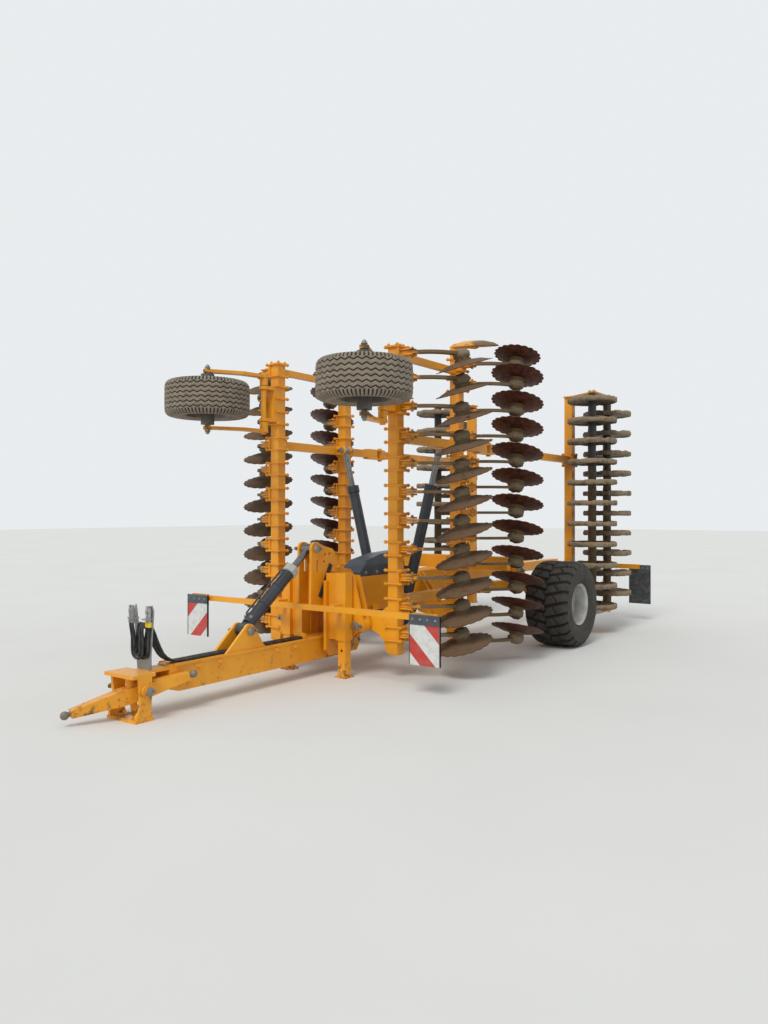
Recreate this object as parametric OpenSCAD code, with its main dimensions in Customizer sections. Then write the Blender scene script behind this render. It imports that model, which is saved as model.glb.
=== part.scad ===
// Trailed compact disc harrow, two wings folded upright for the road.
// Millimetres, +Z up, ground at z = 0, the drawbar points along -Y and +X is the machine's left.
// Lengths along the machine are measured rearwards from the wings' front beams.

/* [Wings] */
// Distance of the folded beams' middle from the centre line
beam_x = 714; // [700:2:730]
// Side of the square wing beams
beam_side = 100; // [90:2:104]
// Height of the folded beams' lower ends
beam_foot = 220; // [205:5:240]
// Height of the front beam's upper end
front_beam_top = 2920; // [2900:5:3000]
// Height of the rear beam's upper end
rear_beam_top = 3100; // [3080:5:3160]
// Distance from the front beams to the rear beams
row_gap = 1050; // [1040:5:1100]
// Side of the square members that join the beams
member_side = 80; // [70:2:84]
// Height of the lower joining member
low_member_h = 690; // [680:5:700]
// Height of the middle joining member
mid_member_h = 2130; // [2110:5:2150]
// Height of the upper joining member
top_member_h = 2860; // [2840:5:2870]
// Radius of the fold hinge pins
hinge_pin_r = 30; // [25:1:34]
// Distance of the fold hinge pins from the centre line
hinge_x = 430; // [425:1:435]
// Height of the fold hinge pins
hinge_h = 460; // [455:1:470]

/* [Discs] */
// Radius of the discs
disc_r = 260; // [240:5:262]
// Radius of the smaller disc at the outer end of the rear row
edge_disc_r = 230; // [220:5:240]
// Thickness of the disc plate
disc_t = 6; // [5:0.5:8]
// Depth of the disc's dish
disc_dish = 42; // [35:1:46]
// Radius of the flat at the disc's middle
disc_flat_r = 80; // [70:2:90]
// Width of the flat band at the disc's rim
disc_rim_w = 20; // [16:1:26]
// Number of notches round the disc's rim
disc_notches = 20; // [14:1:22]
// Depth of the rim's notches
notch_depth = 13; // [8:1:15]
// Distance between neighbouring discs
disc_pitch = 250; // [245:1:255]
// Distance of the disc centres from the centre line
disc_x = 1195; // [1180:5:1210]
// Distance of the disc centres behind their beam
disc_back = 350; // [340:5:360]
// Number of evenly spaced discs in the front row
front_disc_count = 10; // [9:1:10]
// Number of evenly spaced discs in the rear row
rear_disc_count = 10; // [9:1:10]
// Width of the curved disc arms
arm_w = 70; // [60:2:76]
// Thickness of the curved disc arms
arm_t = 26; // [20:2:30]

/* [Wheels] */
// Radius of the transport tyres
road_tyre_r = 465; // [455:5:465]
// Width of the transport tyres
road_tyre_w = 500; // [460:5:500]
// Number of tread bars in each row of a transport tyre
tread_bars = 20; // [16:1:22]
// Height of the tread bars
bar_height = 22; // [16:1:24]
// Width of a tread bar
bar_w = 46; // [36:2:52]
// Slant of the tread bars, in degrees
bar_slant = 24; // [15:1:28]
// Radius of the transport rims
road_rim_r = 225; // [215:5:235]
// Distance of the transport tyres' middle from the centre line
road_tyre_x = 1190; // [1190:5:1200]
// Radius of the support tyres
gauge_tyre_r = 390; // [370:5:395]
// Width of the support tyres
gauge_tyre_w = 340; // [320:5:350]
// Depth of the grooves between the support tyre's ribs
rib_depth = 10; // [6:1:14]
// Width of the grooves
rib_groove = 9; // [6:1:12]
// Radius of the support rims
gauge_rim_r = 210; // [200:5:220]
// Distance of the support wheels from the centre line
gauge_x = 920; // [910:5:930]
// Distance of the support wheels ahead of the front beams
gauge_ahead = 730; // [720:5:740]
// Height of the support wheels when folded
gauge_h = 2520; // [2510:5:2530]

/* [Rollers] */
// Radius of the packer rings
ring_r = 300; // [285:5:305]
// Width of a packer ring
ring_w = 64; // [56:2:70]
// Thickness of a ring's rim
ring_rim_t = 22; // [18:1:28]
// Thickness of a ring's web
ring_web_t = 7; // [6:1:10]
// Distance between neighbouring rings
ring_pitch = 250; // [245:1:252]
// Radius of the roller tubes
roller_tube_r = 50; // [45:1:58]
// Distance of the roller axes from the centre line
roller_x = 1110; // [1105:5:1120]
// Distance of the front roller behind the front beams
front_roller_y = 3600; // [3590:5:3610]
// Distance between the two rollers of a pair
roller_gap = 500; // [490:5:520]
// Distance of the roller arms' pivots behind the front beams
roller_pivot_y = 1700; // [1690:5:1720]
// Number of rings on the front roller
front_ring_count = 11; // [10:1:11]

/* [Chassis] */
// Width of the main box beam
spine_w = 260; // [240:5:260]
// Height of the main box beam's underside
spine_low = 580; // [570:5:590]
// Height of the main box beam's top
spine_top = 850; // [845:5:855]
// Distance of the parking legs from the centre line
leg_x = 330; // [325:5:335]
// Side of the square parking legs
leg_side = 80; // [70:2:80]
// Distance of the transport axle beam behind the front beams
axle_beam_y = 1900; // [1890:5:1910]
// Height of the swing arms' pivots
swing_pivot_h = 840; // [835:5:845]
// Distance of the swing arms' pivots behind the front beams
swing_pivot_y = 1970; // [1965:5:1975]
// Distance of the transport wheels behind the front beams
road_axle_y = 2500; // [2495:5:2510]
// Distance of the rear lamp boards behind the front beams
rear_board_y = 5000; // [4960:10:5050]

/* [Drawbar] */
// Width of the drawbar box
drawbar_w = 180; // [160:5:190]
// Height of the drawbar's underside
drawbar_low = 145; // [140:5:150]
// Height of the drawbar's top
drawbar_top = 345; // [340:5:350]
// Distance of the hitch pin ahead of the front beams
hitch_ahead = 2250; // [2240:5:2260]
// Length of the hitch crossbar between its ball studs
crossbar_len = 965; // [900:5:965]
// Radius of the levelling cylinder's barrel
draft_barrel_r = 52; // [48:1:54]
// Radius of the fold cylinders' barrels
fold_barrel_r = 54; // [50:1:56]

/* [Hidden] */
$fn = 48;

// Place of the front beams along Y, which centres the whole length on the origin
origin_y = -1167;
// Gap between a pin and its bore, on the radius
pin_gap = 0.3;
// Gap between pieces that turn past each other
side_gap = 8;

leg_y = -250;
spine_half = spine_w / 2;
spine_front = -250;
plate_t = 30;
cheek_x = spine_half + plate_t;

// Step between a beam's sides and its end caps
cap_inset = 10;
// Front hinge lug, ahead of the wing lug
lug_depth = 110;
front_lug_y = -beam_side / 2 - 20 - lug_depth;
rear_lug_y = row_gap + beam_side / 2 + 20;

// Drawbar pivot in the frame's cheeks
draw_pivot_y = 100;
draw_pivot_h = 270;
// Levelling cylinder, from the drawbar's bracket to the headstock
draft_base = [-1165, 500];
draft_top = [-356, 1140];
draft_pin_r = 25;
draft_len = norm(draft_top - draft_base);
draft_angle = atan2(draft_top[1] - draft_base[1], draft_top[0] - draft_base[0]);
draft_barrel_len = 760;
draft_rod_r = 30;

// Fold cylinders, from the frame's sides to the wings' middle members
fold_y = 920;
fold_base = [200, 600];
fold_top = [600, mid_member_h];
fold_pin_r = 22;
fold_len = norm(fold_top - fold_base);
fold_angle = atan2(fold_top[1] - fold_base[1], fold_top[0] - fold_base[0]);
fold_barrel_len = 1180;
fold_rod_r = 28;
fold_eye_t = 60;

// Disc attitude in the folded wing: the front row faces one way, the rear row the other
front_disc_tilt = [16, -8, 0];
rear_disc_tilt = [-18.6, 0, 0];
notch_r = 24;
hub_r = 66;
dome_r = 245;
dome_out = 110;
dome_back = 150;
hub_len = 72;
arm_drop = 62;
arm_bend_r = 400;
arm_bend_angle = 74;
arm_root_gap = 24;
front_disc_heights = concat([2805], [for (i = [0:front_disc_count - 1]) 2584 - i * disc_pitch]);
rear_disc_heights = concat([2983, 2787], [for (i = [0:rear_disc_count - 1]) 2526 - i * disc_pitch]);

gauge_pivot_y = -200;
gauge_axle_r = 25;
gauge_arm_half = 265;
roller_y2 = front_roller_y + roller_gap;
roller_beam_y = front_roller_y + roller_gap / 2;
roller_foot = 235;
roller_head = 2925;
first_ring_h = 330;
roller_pin_r = 25;
road_axle_h = road_tyre_r;
swing_arm_x = 875;
swing_arm_t = 50;
stub_r = 40;

hitch_y = -hitch_ahead;
hitch_h = 176;
crossbar_yaw = 22;
crossbar_pitch = 13;
king_pin_r = 25;
yoke_x = 164;

// Hose rack behind the hitch; each list gives the outer hose of a side, then the inner one
rack_y = hitch_y + 100;
rack_t = 12;
coupling_h = 680;
coupling_x = [92, 66];
hose_r = 10;
hose_hang_x = [74, 48];
hose_loop_r = [62, 36];
hose_over_x = [39, 13];
hose_lie_x = [33, 11];
hose_lie_h = drawbar_top + hose_r + 1;
hose_sway = 4;
hose_end_y = -480;

// Puts a shape drawn from the front beams into the part's own frame
module in_place() translate([0, origin_y, 0]) children();

// Left side as drawn, right side mirrored
module on_side(side) mirror([side > 0 ? 0 : 1, 0, 0]) children();

// Flat shape drawn as (x, height), with its thickness running rearwards from y
module across(y, t) translate([0, y + t, 0]) rotate([90, 0, 0]) linear_extrude(t) children();

// Flat shape drawn as (length, height), with its thickness running left from x
module along(x, t) translate([x, 0, 0]) rotate([90, 0, 90]) linear_extrude(t) children();

module block(x, y, z) translate([x[0], y[0], z[0]]) cube([x[1] - x[0], y[1] - y[0], z[1] - z[0]]);

module centred_bar(x, y, side, z) block([x - side / 2, x + side / 2], [y - side / 2, y + side / 2], z);

module pin_y(x, y, z, r) translate([x, y[1], z]) rotate([90, 0, 0]) cylinder(h = y[1] - y[0], r = r);

module pin_x(x, y, z, r) translate([x[0], y, z]) rotate([0, 90, 0]) cylinder(h = x[1] - x[0], r = r);

module pin_z(x, y, z, r) translate([x, y, z[0]]) cylinder(h = z[1] - z[0], r = r);

// Cheek plate beside the drawbar, drawn as (length, height)
module cheek_outline() {
    polygon([[-300, 230], [-240, 175], [150, 175], [190, 240], [240, spine_low + 10], [240, spine_top],
        [-300, spine_top]]);
}

// Hinge web seen from the front, drawn as (x, height)
module hinge_web() {
    difference() {
        union() {
            polygon([[spine_half - 5, 300], [spine_half - 5, 900], [leg_x + 40, 900], [hinge_x + 58, hinge_h + 20],
                [hinge_x, hinge_h - 55], [leg_x, 340], [cheek_x + 20, 300]]);
            translate([hinge_x, hinge_h]) circle(r = 60);
        }
        translate([250, 560]) circle(r = 45);
    }
}

module rear_hinge_web() {
    difference() {
        union() {
            polygon([[spine_half - 5, spine_low - 60], [spine_half - 5, spine_top], [200, spine_top],
                [hinge_x + 50, hinge_h + 35], [hinge_x - 10, hinge_h - 58], [220, 440]]);
            translate([hinge_x, hinge_h]) circle(r = 60);
        }
        translate([230, 600]) circle(r = 40);
    }
}

module frame_half() {
    along(spine_half, plate_t) cheek_outline();
    // Front hinge: two webs, the boss between them and the pin through the wing's lug
    across(front_lug_y, 24) hinge_web();
    across(front_lug_y + lug_depth - 24, 24) hinge_web();
    pin_y(hinge_x, [front_lug_y, front_lug_y + lug_depth], hinge_h, 60);
    pin_y(hinge_x, [front_lug_y - 34, beam_side / 2 + 12], hinge_h, hinge_pin_r);
    pin_y(hinge_x, [front_lug_y - 34, front_lug_y - 14], hinge_h, hinge_pin_r + 12);
    // Rear hinge, mirrored so that its pin points forward
    across(rear_lug_y, 24) rear_hinge_web();
    across(rear_lug_y + lug_depth - 24, 24) rear_hinge_web();
    pin_y(hinge_x, [rear_lug_y, rear_lug_y + lug_depth], hinge_h, 60);
    pin_y(hinge_x, [row_gap - beam_side / 2 - 12, rear_lug_y + lug_depth + 20], hinge_h, hinge_pin_r);
    // Guide tube of the parking leg and the plate that carries it
    difference() {
        centred_bar(leg_x, leg_y, leg_side + 22, [330, 930]);
        centred_bar(leg_x, leg_y, leg_side + 2 * pin_gap, [320, 940]);
    }
    block([spine_half, leg_x - leg_side / 2 - 11], [leg_y - 12, leg_y + 12], [330, 920]);
    block([spine_half, leg_x - leg_side / 2 - 11], [leg_y - 12, front_lug_y + 5], [860, 880]);
    block([leg_x - 20, leg_x + 20], [leg_y + leg_side / 2 + 11, front_lug_y], [600, 900]);
    // Lugs and pin of the fold cylinder
    for (y = [fold_y - fold_eye_t / 2 - side_gap - 20, fold_y + fold_eye_t / 2 + side_gap]) across(y, 20) {
        polygon([[spine_half - 5, fold_base[1] - 75], [fold_base[0], fold_base[1] - 50],
            [fold_base[0], fold_base[1] + 50], [spine_half - 5, fold_base[1] + 75]]);
        translate(fold_base) circle(r = 50);
    }
    pin_y(fold_base[0], [fold_y - fold_eye_t / 2 - side_gap - 30, fold_y + fold_eye_t / 2 + side_gap + 30],
        fold_base[1], fold_pin_r);
    // Swing arm bracket under the end of the axle beam
    along(swing_arm_x - side_gap - 40, 40) {
        polygon([[axle_beam_y - 80, spine_top + 5], [axle_beam_y + 80, spine_top + 5],
            [swing_pivot_y + 62, swing_pivot_h], [swing_pivot_y, swing_pivot_h - 62],
            [swing_pivot_y - 80, swing_pivot_h - 30]]);
        translate([swing_pivot_y, swing_pivot_h]) circle(r = 62);
    }
    pin_x([swing_arm_x - side_gap - 10, swing_arm_x + swing_arm_t + 22], swing_pivot_y, swing_pivot_h, 35);
    pin_x([swing_arm_x + swing_arm_t + side_gap, swing_arm_x + swing_arm_t + 22], swing_pivot_y, swing_pivot_h, 50);
}

module main_frame() color("orange") {
    block([-spine_half, spine_half], [spine_front, axle_beam_y + 150], [spine_low, spine_top]);
    block([-swing_arm_x + side_gap, swing_arm_x - side_gap], [axle_beam_y - 70, axle_beam_y + 70],
        [spine_top, spine_top + 140]);
    for (side = [1, -1]) on_side(side) frame_half();
    // Drawbar pivot pin across the cheeks
    pin_x([-cheek_x - 25, cheek_x + 25], draw_pivot_y, draw_pivot_h, hinge_pin_r);
}

module headstock_outline() {
    difference() {
        union() {
            polygon([[-420, 600], [spine_front, 600], [spine_front, spine_top], [230, spine_top], [150, 930],
                [20, 950], [-50, 1040], [-110, 1130], [-250, 1165], [-330, 1198], [-410, 1140]]);
            translate(draft_top) circle(r = 58);
        }
        translate([-225, 1085]) circle(r = 16);
        translate([-165, 1085]) circle(r = 16);
        translate([-240, 1020]) circle(r = 13);
        translate([-345, 930]) square([34, 110]);
    }
}

module headstock() color("orange") {
    for (x = [-85, 60]) along(x, 25) headstock_outline();
    block([-60, 60], [-300, -275], [600, 1000]);
    block([-60, 60], [20, 140], [spine_top, spine_top + 60]);
    pin_x([-100, 100], draft_top[0], draft_top[1], draft_pin_r);
}

module hood() color("darkslategray") {
    intersection() {
        along(-spine_half, spine_w) polygon([[250, spine_top], [250, spine_top + 40], [380, spine_top + 150],
            [640, spine_top + 205], [1000, spine_top + 225], [1000, spine_top]]);
        across(240, 780) polygon([[-118, spine_top], [-118, spine_top + 105], [-70, spine_top + 240],
            [70, spine_top + 240], [118, spine_top + 105], [118, spine_top]]);
    }
}

module rear_boom() color("orange") {
    boom_front = axle_beam_y + 150;
    block([-60, 60], [boom_front, rear_board_y - 30], [spine_low + 100, spine_low + 220]);
    block([-1230, 1230], [rear_board_y - 30, rear_board_y + 10], [spine_low + 120, spine_low + 180]);
    for (side = [1, -1]) on_side(side) along(20, 20)
        polygon([[boom_front, spine_low], [boom_front + 280, spine_low + 100], [boom_front, spine_low + 100]]);
}

module board_bar() color("orange") {
    block([-1400, 1400], [-460, -420], [600, 650]);
    for (side = [1, -1]) on_side(side) {
        block([leg_x - 20, leg_x + 20], [-420, leg_y - leg_side / 2 - 11], [590, 660]);
        block([1205, 1235], [-475, -460], [560, 660]);
        block([1405, 1435], [-475, -460], [560, 660]);
        block([1205, 1435], [-460, -454], [652, 662]);
    }
}

module warning_boards() color("crimson") {
    for (side = [1, -1]) on_side(side) {
        block([1190, 1480], [-490, -475], [250, 650]);
        block([1080, 1370], [rear_board_y + 10, rear_board_y + 30], [230, 750]);
    }
}

module leg() color("orange") {
    difference() {
        centred_bar(leg_x, leg_y, leg_side, [12, 880]);
        centred_bar(leg_x, leg_y, leg_side - 16, [30, 900]);
        pin_y(leg_x, [leg_y - leg_side, leg_y + leg_side], 240, 13);
    }
    centred_bar(leg_x, leg_y, leg_side + 40, [0, 12]);
}

module drawbar() color("orange") {
    half = drawbar_w / 2;
    difference() {
        union() {
            along(-half, drawbar_w) polygon([[-1970, drawbar_low + 20], [-1900, drawbar_low], [-60, drawbar_low],
                [draw_pivot_y, draw_pivot_h - 80], [draw_pivot_y + 60, draw_pivot_h], [draw_pivot_y, draw_pivot_h + 75],
                [-60, drawbar_top], [-1970, drawbar_top]]);
            pin_x([-half, half], draw_pivot_y, draw_pivot_h, 80);
            pin_x([-spine_half + 4, spine_half - 4], draw_pivot_y, draw_pivot_h, 60);
        }
        pin_x([-spine_half, spine_half], draw_pivot_y, draw_pivot_h, hinge_pin_r + pin_gap);
        // The nose narrows beside the crossbar
        translate([-half, -1980, 0]) linear_extrude(500) polygon([[-5, -10], [25, -10], [-5, 120]]);
        translate([half, -1980, 0]) linear_extrude(500) polygon([[5, -10], [-25, -10], [5, 120]]);
    }
    for (x = [-80, 55]) along(x, 25) {
        polygon([[-1430, drawbar_top - 5], [-1225, draft_base[1] + 22], [-1105, draft_base[1] + 22],
            [-1010, 375], [-960, drawbar_top - 5]]);
        translate(draft_base) circle(r = 58);
    }
    pin_x([-92, 92], draft_base[0], draft_base[1], draft_pin_r);
    // Bulkhead that the hoses end in
    block([-60, 60], [hose_end_y, hose_end_y + 25], [drawbar_top - 5, drawbar_top + 50]);
}

module hitch_head() color("orange") {
    // Neck plates carry the yoke's top plate and foot ahead of the drawbar
    block([-yoke_x, yoke_x], [hitch_y - 110, hitch_y + 80], [310, 335]);
    block([-65, 65], [hitch_y + 70, -1970], [310, 335]);
    along(-88, 26) polygon([[hitch_y + 75, 320], [hitch_y + 60, 120], [-1970, 170], [-1970, 320]]);
    block([-yoke_x, yoke_x], [hitch_y - 90, hitch_y + 65], [0, 22]);
    for (side = [1, -1]) on_side(side) {
        along(yoke_x - 24, 24) polygon([[hitch_y - 80, 12], [hitch_y + 60, 12], [hitch_y + 42, 70],
            [hitch_y + 50, 190], [hitch_y + 50, 320], [hitch_y - 60, 320], [hitch_y - 46, 190], [hitch_y - 52, 90],
            [hitch_y - 80, 50]]);
        pin_x([yoke_x - 5, yoke_x + 20], hitch_y, 215, 42);
        pin_x([yoke_x + 15, yoke_x + 34], hitch_y, 215, 28);
    }
    // King pin, square to the pitched crossbar, held in the top plate and the foot
    translate([0, hitch_y, hitch_h]) rotate([crossbar_pitch, 0, 0]) translate([0, 0, -168])
        cylinder(h = 316, r = king_pin_r);
}

// Tapered bar, drawn along Y at the origin and then turned about the king pin
module crossbar() color("orange") {
    half = crossbar_len / 2 - 60;
    translate([0, hitch_y, hitch_h]) rotate([crossbar_pitch, 0, 0]) rotate([0, 0, -crossbar_yaw]) difference() {
        union() {
            intersection() {
                translate([0, 0, -60]) linear_extrude(120) polygon([[-30, -half], [30, -half], [48, -70], [48, 70],
                    [30, half], [-30, half], [-48, 70], [-48, -70]]);
                along(-60, 120) polygon([[-half, -28], [-70, -55], [70, -55], [half, -28], [half, 28], [70, 55],
                    [-70, 55], [-half, 28]]);
            }
            for (end = [1, -1]) {
                pin_y(0, [min(end * half, end * (half + 42)), max(end * half, end * (half + 42))], 0, 18);
                translate([0, end * (half + 38), 0]) sphere(r = 30);
            }
        }
        cylinder(h = 200, r = king_pin_r + pin_gap, center = true);
    }
}

module hose_rack() color("darkgray") {
    across(rack_y, rack_t) polygon([[-70, 335], [-110, 760], [-90, 800], [-60, 640], [-30, 560], [30, 560],
        [60, 640], [90, 800], [110, 760], [70, 335]]);
    block([-30, 30], [rack_y + rack_t, rack_y + 50], [335, 560]);
    // Shelves on the prongs with the couplings that the hoses end in
    for (side = [1, -1]) on_side(side) {
        block([52, 108], [rack_y - 56, rack_y + 5], [700, 710]);
        for (x = coupling_x) pin_z(x, rack_y - (side > 0 ? 16 : 42), [coupling_h, 770], 12);
    }
}

// Points between p[i] and p[i + 1] on a smooth curve through all of p
function curve_at(p, i, t) = let (a = p[max(i - 1, 0)], b = p[i], c = p[i + 1], d = p[min(i + 2, len(p) - 1)])
    0.5 * (2 * b + (c - a) * t + (2 * a - 5 * b + 4 * c - d) * t * t + (3 * b - a - 3 * c + d) * t * t * t);
function smooth(p, n) = concat([for (i = [0:len(p) - 2]) for (k = [0:n - 1]) curve_at(p, i, k / n)], [p[len(p) - 1]]);
function unit(v) = v / norm(v);
function direction(p, i) = unit(p[min(i + 1, len(p) - 1)] - p[max(i - 1, 0)]);

// Normals along the curve, each carried on from the one before
function normals(p, i = 0, last = [0, 1, 0]) = i == len(p) ? [] :
    let (d = direction(p, i), n = unit(last - (last * d) * d)) concat([n], normals(p, i + 1, n));

// Closed tube swept along points
module tube(p, r, sides = 8) {
    ring_normals = normals(p);
    points = [for (i = [0:len(p) - 1]) let (d = direction(p, i), n = ring_normals[i], b = cross(d, n))
        for (k = [0:sides - 1]) p[i] + r * (cos(k * 360 / sides) * n + sin(k * 360 / sides) * b)];
    last = (len(p) - 1) * sides;
    faces = concat([[for (k = [0:sides - 1]) k]], [[for (k = [sides - 1:-1:0]) last + k]],
        [for (i = [0:len(p) - 2]) for (k = [0:sides - 1])
            [i * sides + k, (i + 1) * sides + k, (i + 1) * sides + (k + 1) % sides, i * sides + (k + 1) % sides]]);
    polyhedron(points, faces);
}

// One hose: down from its coupling, round a loop, over the rack and along the drawbar to the bulkhead
function hose_route(side, layer, lane) = let (y = rack_y - layer, x = coupling_x[lane], hang = hose_hang_x[lane],
    r = hose_loop_r[lane], over = hose_over_x[lane], lie = hose_lie_x[lane])
    [for (q = concat([[-x, y, coupling_h - pin_gap], [-x, y, 665], [-x, y, 650], [-hang, y, 570], [-hang, y, 500]],
        [for (a = [210:30:330]) [r - hang + r * cos(a), y, 480 + r * sin(a)]],
        [[2 * r - hang, y, 500], [2 * r - hang, y, 570], [over + 3, y + 2, 636], [over, rack_y + 2, 666],
        [over, rack_y + 50, 628], [over, rack_y + 90, 540], [lie, rack_y + 150, 430], [lie, rack_y + 215, 378],
        [lie, rack_y + 290, hose_lie_h]],
        [for (k = [1:7]) [lie + (k % 2) * hose_sway * side,
            rack_y + 290 + k * (hose_end_y - rack_y - 290) / 8, hose_lie_h]],
        [for (back = [50, 25, pin_gap]) [lie, hose_end_y - back, hose_lie_h]])) [q[0] * side, q[1], q[2]]];

module hoses() color("black") for (side = [1, -1]) for (lane = [0, 1])
    tube(smooth(hose_route(side, side > 0 ? 42 : 16, lane), 2), hose_r);

// A cylinder drawn along X from its base pin, with its eye across it and a collar round its gland
module barrel(len, r, eye_r, eye_t, pin_r, bore_r, collar_r, collar_sides) {
    difference() {
        union() {
            rotate([90, 0, 0]) translate([0, 0, -eye_t / 2]) cylinder(h = eye_t, r = eye_r);
            block([0, eye_r + 40], [-eye_t / 2, eye_t / 2], [-eye_r * 0.6, eye_r * 0.6]);
            pin_x([eye_r + 22, len], 0, 0, r);
            translate([len - 70, 0, 0]) rotate([0, 90, 0]) rotate([0, 0, 180 / collar_sides])
                cylinder(h = 70, r = collar_r, $fn = collar_sides);
        }
        pin_y(0, [-eye_t, eye_t], 0, pin_r + pin_gap);
        pin_x([eye_r + 70, len + 5], 0, 0, bore_r);
    }
}

module rod(from, len, r, eye_r, eye_t) {
    pin_x([from, len - eye_r + 12], 0, 0, r);
    rotate([90, 0, 0]) translate([len, 0, -eye_t / 2]) cylinder(h = eye_t, r = eye_r);
}

module draft_frame() translate([0, draft_base[0], draft_base[1]]) rotate([draft_angle, 0, 0]) rotate([0, 0, 90])
    children();

module draft_barrel() color("black") draft_frame()
    barrel(draft_barrel_len, draft_barrel_r, 48, 90, draft_pin_r, draft_rod_r + pin_gap, draft_barrel_r + 16, 8);

module draft_rod() color("dimgray") draft_frame() difference() {
    rod(330, draft_len, draft_rod_r, 46, 90);
    pin_y(draft_len, [-60, 60], 0, draft_pin_r + 9);
}

module fold_frame(side) on_side(side) translate([fold_base[0], fold_y, fold_base[1]]) rotate([0, -fold_angle, 0])
    children();

module fold_barrel(side) color("black") fold_frame(side)
    barrel(fold_barrel_len, fold_barrel_r, 46, fold_eye_t, fold_pin_r, fold_rod_r + pin_gap, fold_barrel_r + 10, 48);

module fold_rod(side) color("dimgray") fold_frame(side) rod(560, fold_len, fold_rod_r, 42, fold_eye_t);

// Curved hinge arm at a beam's lower end, drawn as (x, height)
module hinge_arm() {
    face = beam_x - beam_side / 2 + 5;
    difference() {
        union() {
            difference() {
                polygon([[hinge_x - 40, hinge_h], [hinge_x, hinge_h + 56], [face - 90, hinge_h + 120],
                    [face, hinge_h + 180], [face, beam_foot + 4], [hinge_x - 40, beam_foot + 4]]);
                translate([hinge_x + 28, beam_foot + 8]) circle(r = 182);
                translate([hinge_x - 60, beam_foot - 20]) square([60, 200]);
            }
            translate([hinge_x, hinge_h]) circle(r = 56);
        }
        translate([hinge_x, hinge_h]) circle(r = hinge_pin_r + pin_gap);
    }
}

module wing_frame(side) color("orange") on_side(side) {
    half = beam_side / 2;
    centred_bar(beam_x, 0, beam_side, [beam_foot, front_beam_top]);
    centred_bar(beam_x, row_gap, beam_side, [beam_foot, rear_beam_top]);
    for (y = [0, row_gap]) {
        across(y - half, beam_side) hinge_arm();
        centred_bar(beam_x, y, beam_side - cap_inset, [beam_foot - 12, beam_foot]);
    }
    centred_bar(beam_x, 0, beam_side - cap_inset, [front_beam_top, front_beam_top + 12]);
    centred_bar(beam_x, row_gap, beam_side - cap_inset, [rear_beam_top, rear_beam_top + 12]);
    // Flat bar and domed side plate on top of the rear beam
    translate([beam_x, row_gap, rear_beam_top + 6]) rotate([0, 0, atan2(dome_back, dome_out)])
        translate([-40, -35, 0]) cube([norm([dome_out, dome_back]) + 75, 70, 24]);
    translate([beam_x + dome_out, row_gap + dome_back, rear_beam_top + 44]) rotate([9, 4, 0]) side_dome();
    m = member_side / 2;
    for (h = [low_member_h, mid_member_h]) {
        block([beam_x - m, beam_x + m], [half, row_gap - half], [h - m, h + m]);
        block([beam_x - m, beam_x + m], [row_gap + half, roller_pivot_y - 100], [h - m, h + m]);
        // Fork plates and pin that hold the roller arm
        for (z = [h - m - 16, h + m]) block([beam_x - m, beam_x + m], [roller_pivot_y - 260, roller_pivot_y + 50],
            [z, z + 16]);
        pin_z(beam_x, roller_pivot_y, [h - m - 34, h + m + 34], roller_pin_r);
    }
    block([beam_x - 30, beam_x + 30], [half, row_gap - half], [top_member_h - 30, top_member_h + 30]);
    // Lugs of the fold cylinder's rod
    for (y = [fold_y - fold_eye_t / 2 - side_gap - 20, fold_y + fold_eye_t / 2 + side_gap]) across(y, 20) {
        polygon([[beam_x - m + 4, mid_member_h - 38], [fold_top[0], mid_member_h - 46],
            [fold_top[0], mid_member_h + 46], [beam_x - m + 4, mid_member_h + 38]]);
        translate(fold_top) circle(r = 46);
    }
    // Bracket and pin of the support wheel's fork
    block([beam_x - half, beam_x + half], [-half - 60, -half], [gauge_h - 170, gauge_h + 170]);
    for (z = [gauge_h - 170, gauge_h + 140]) linear_block(z, 30);
    pin_z(beam_x, gauge_pivot_y, [gauge_h - gauge_arm_half - 30, gauge_h + gauge_arm_half + 30], gauge_axle_r);
}

// Shallow dome with a boss under its middle
module side_dome() rotate_extrude($fn = 64)
    polygon([[0, -24], [32, -24], [32, 30], [110, 26], [200, 4], [dome_r, -22], [dome_r, -14], [200, 12], [110, 34],
        [0, 42]]);

// Lug of the support wheel's bracket
module linear_block(z, t) translate([0, 0, z]) linear_extrude(t) {
    polygon([[beam_x - 50, -beam_side / 2 - 50], [beam_x + 50, -beam_side / 2 - 50],
        [beam_x + 42, gauge_pivot_y], [beam_x - 42, gauge_pivot_y]]);
    translate([beam_x, gauge_pivot_y]) circle(r = 42);
}

// One arm with its clamp plate and hub; up is 1 where the hub is above the disc, -1 where below
module disc_arm(beam_y, h, up, tilt) {
    arm_h = h + up * arm_drop;
    face = beam_x + beam_side / 2;
    block([face, face + arm_root_gap], [beam_y - 62, beam_y + 62], [arm_h - 66, arm_h + 66]);
    translate([face + arm_root_gap, beam_y, arm_h - arm_t / 2]) {
        translate([-4, -arm_w / 2, 0]) cube([6, arm_w, arm_t]);
        translate([0, arm_bend_r, 0]) rotate([0, 0, -90]) rotate_extrude(angle = arm_bend_angle)
            translate([arm_bend_r - arm_w / 2, 0]) square([arm_w, arm_t]);
    }
    translate([disc_x, beam_y + disc_back, h]) rotate(tilt) mirror([0, 0, up > 0 ? 0 : 1])
        translate([0, 0, disc_t / 2 + pin_gap]) {
            cylinder(h = hub_len, r = hub_r);
            cylinder(h = 14, r = disc_flat_r - 4);
            translate([0, 0, hub_len - 2]) cylinder(h = 14, r = 34);
        }
}

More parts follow.
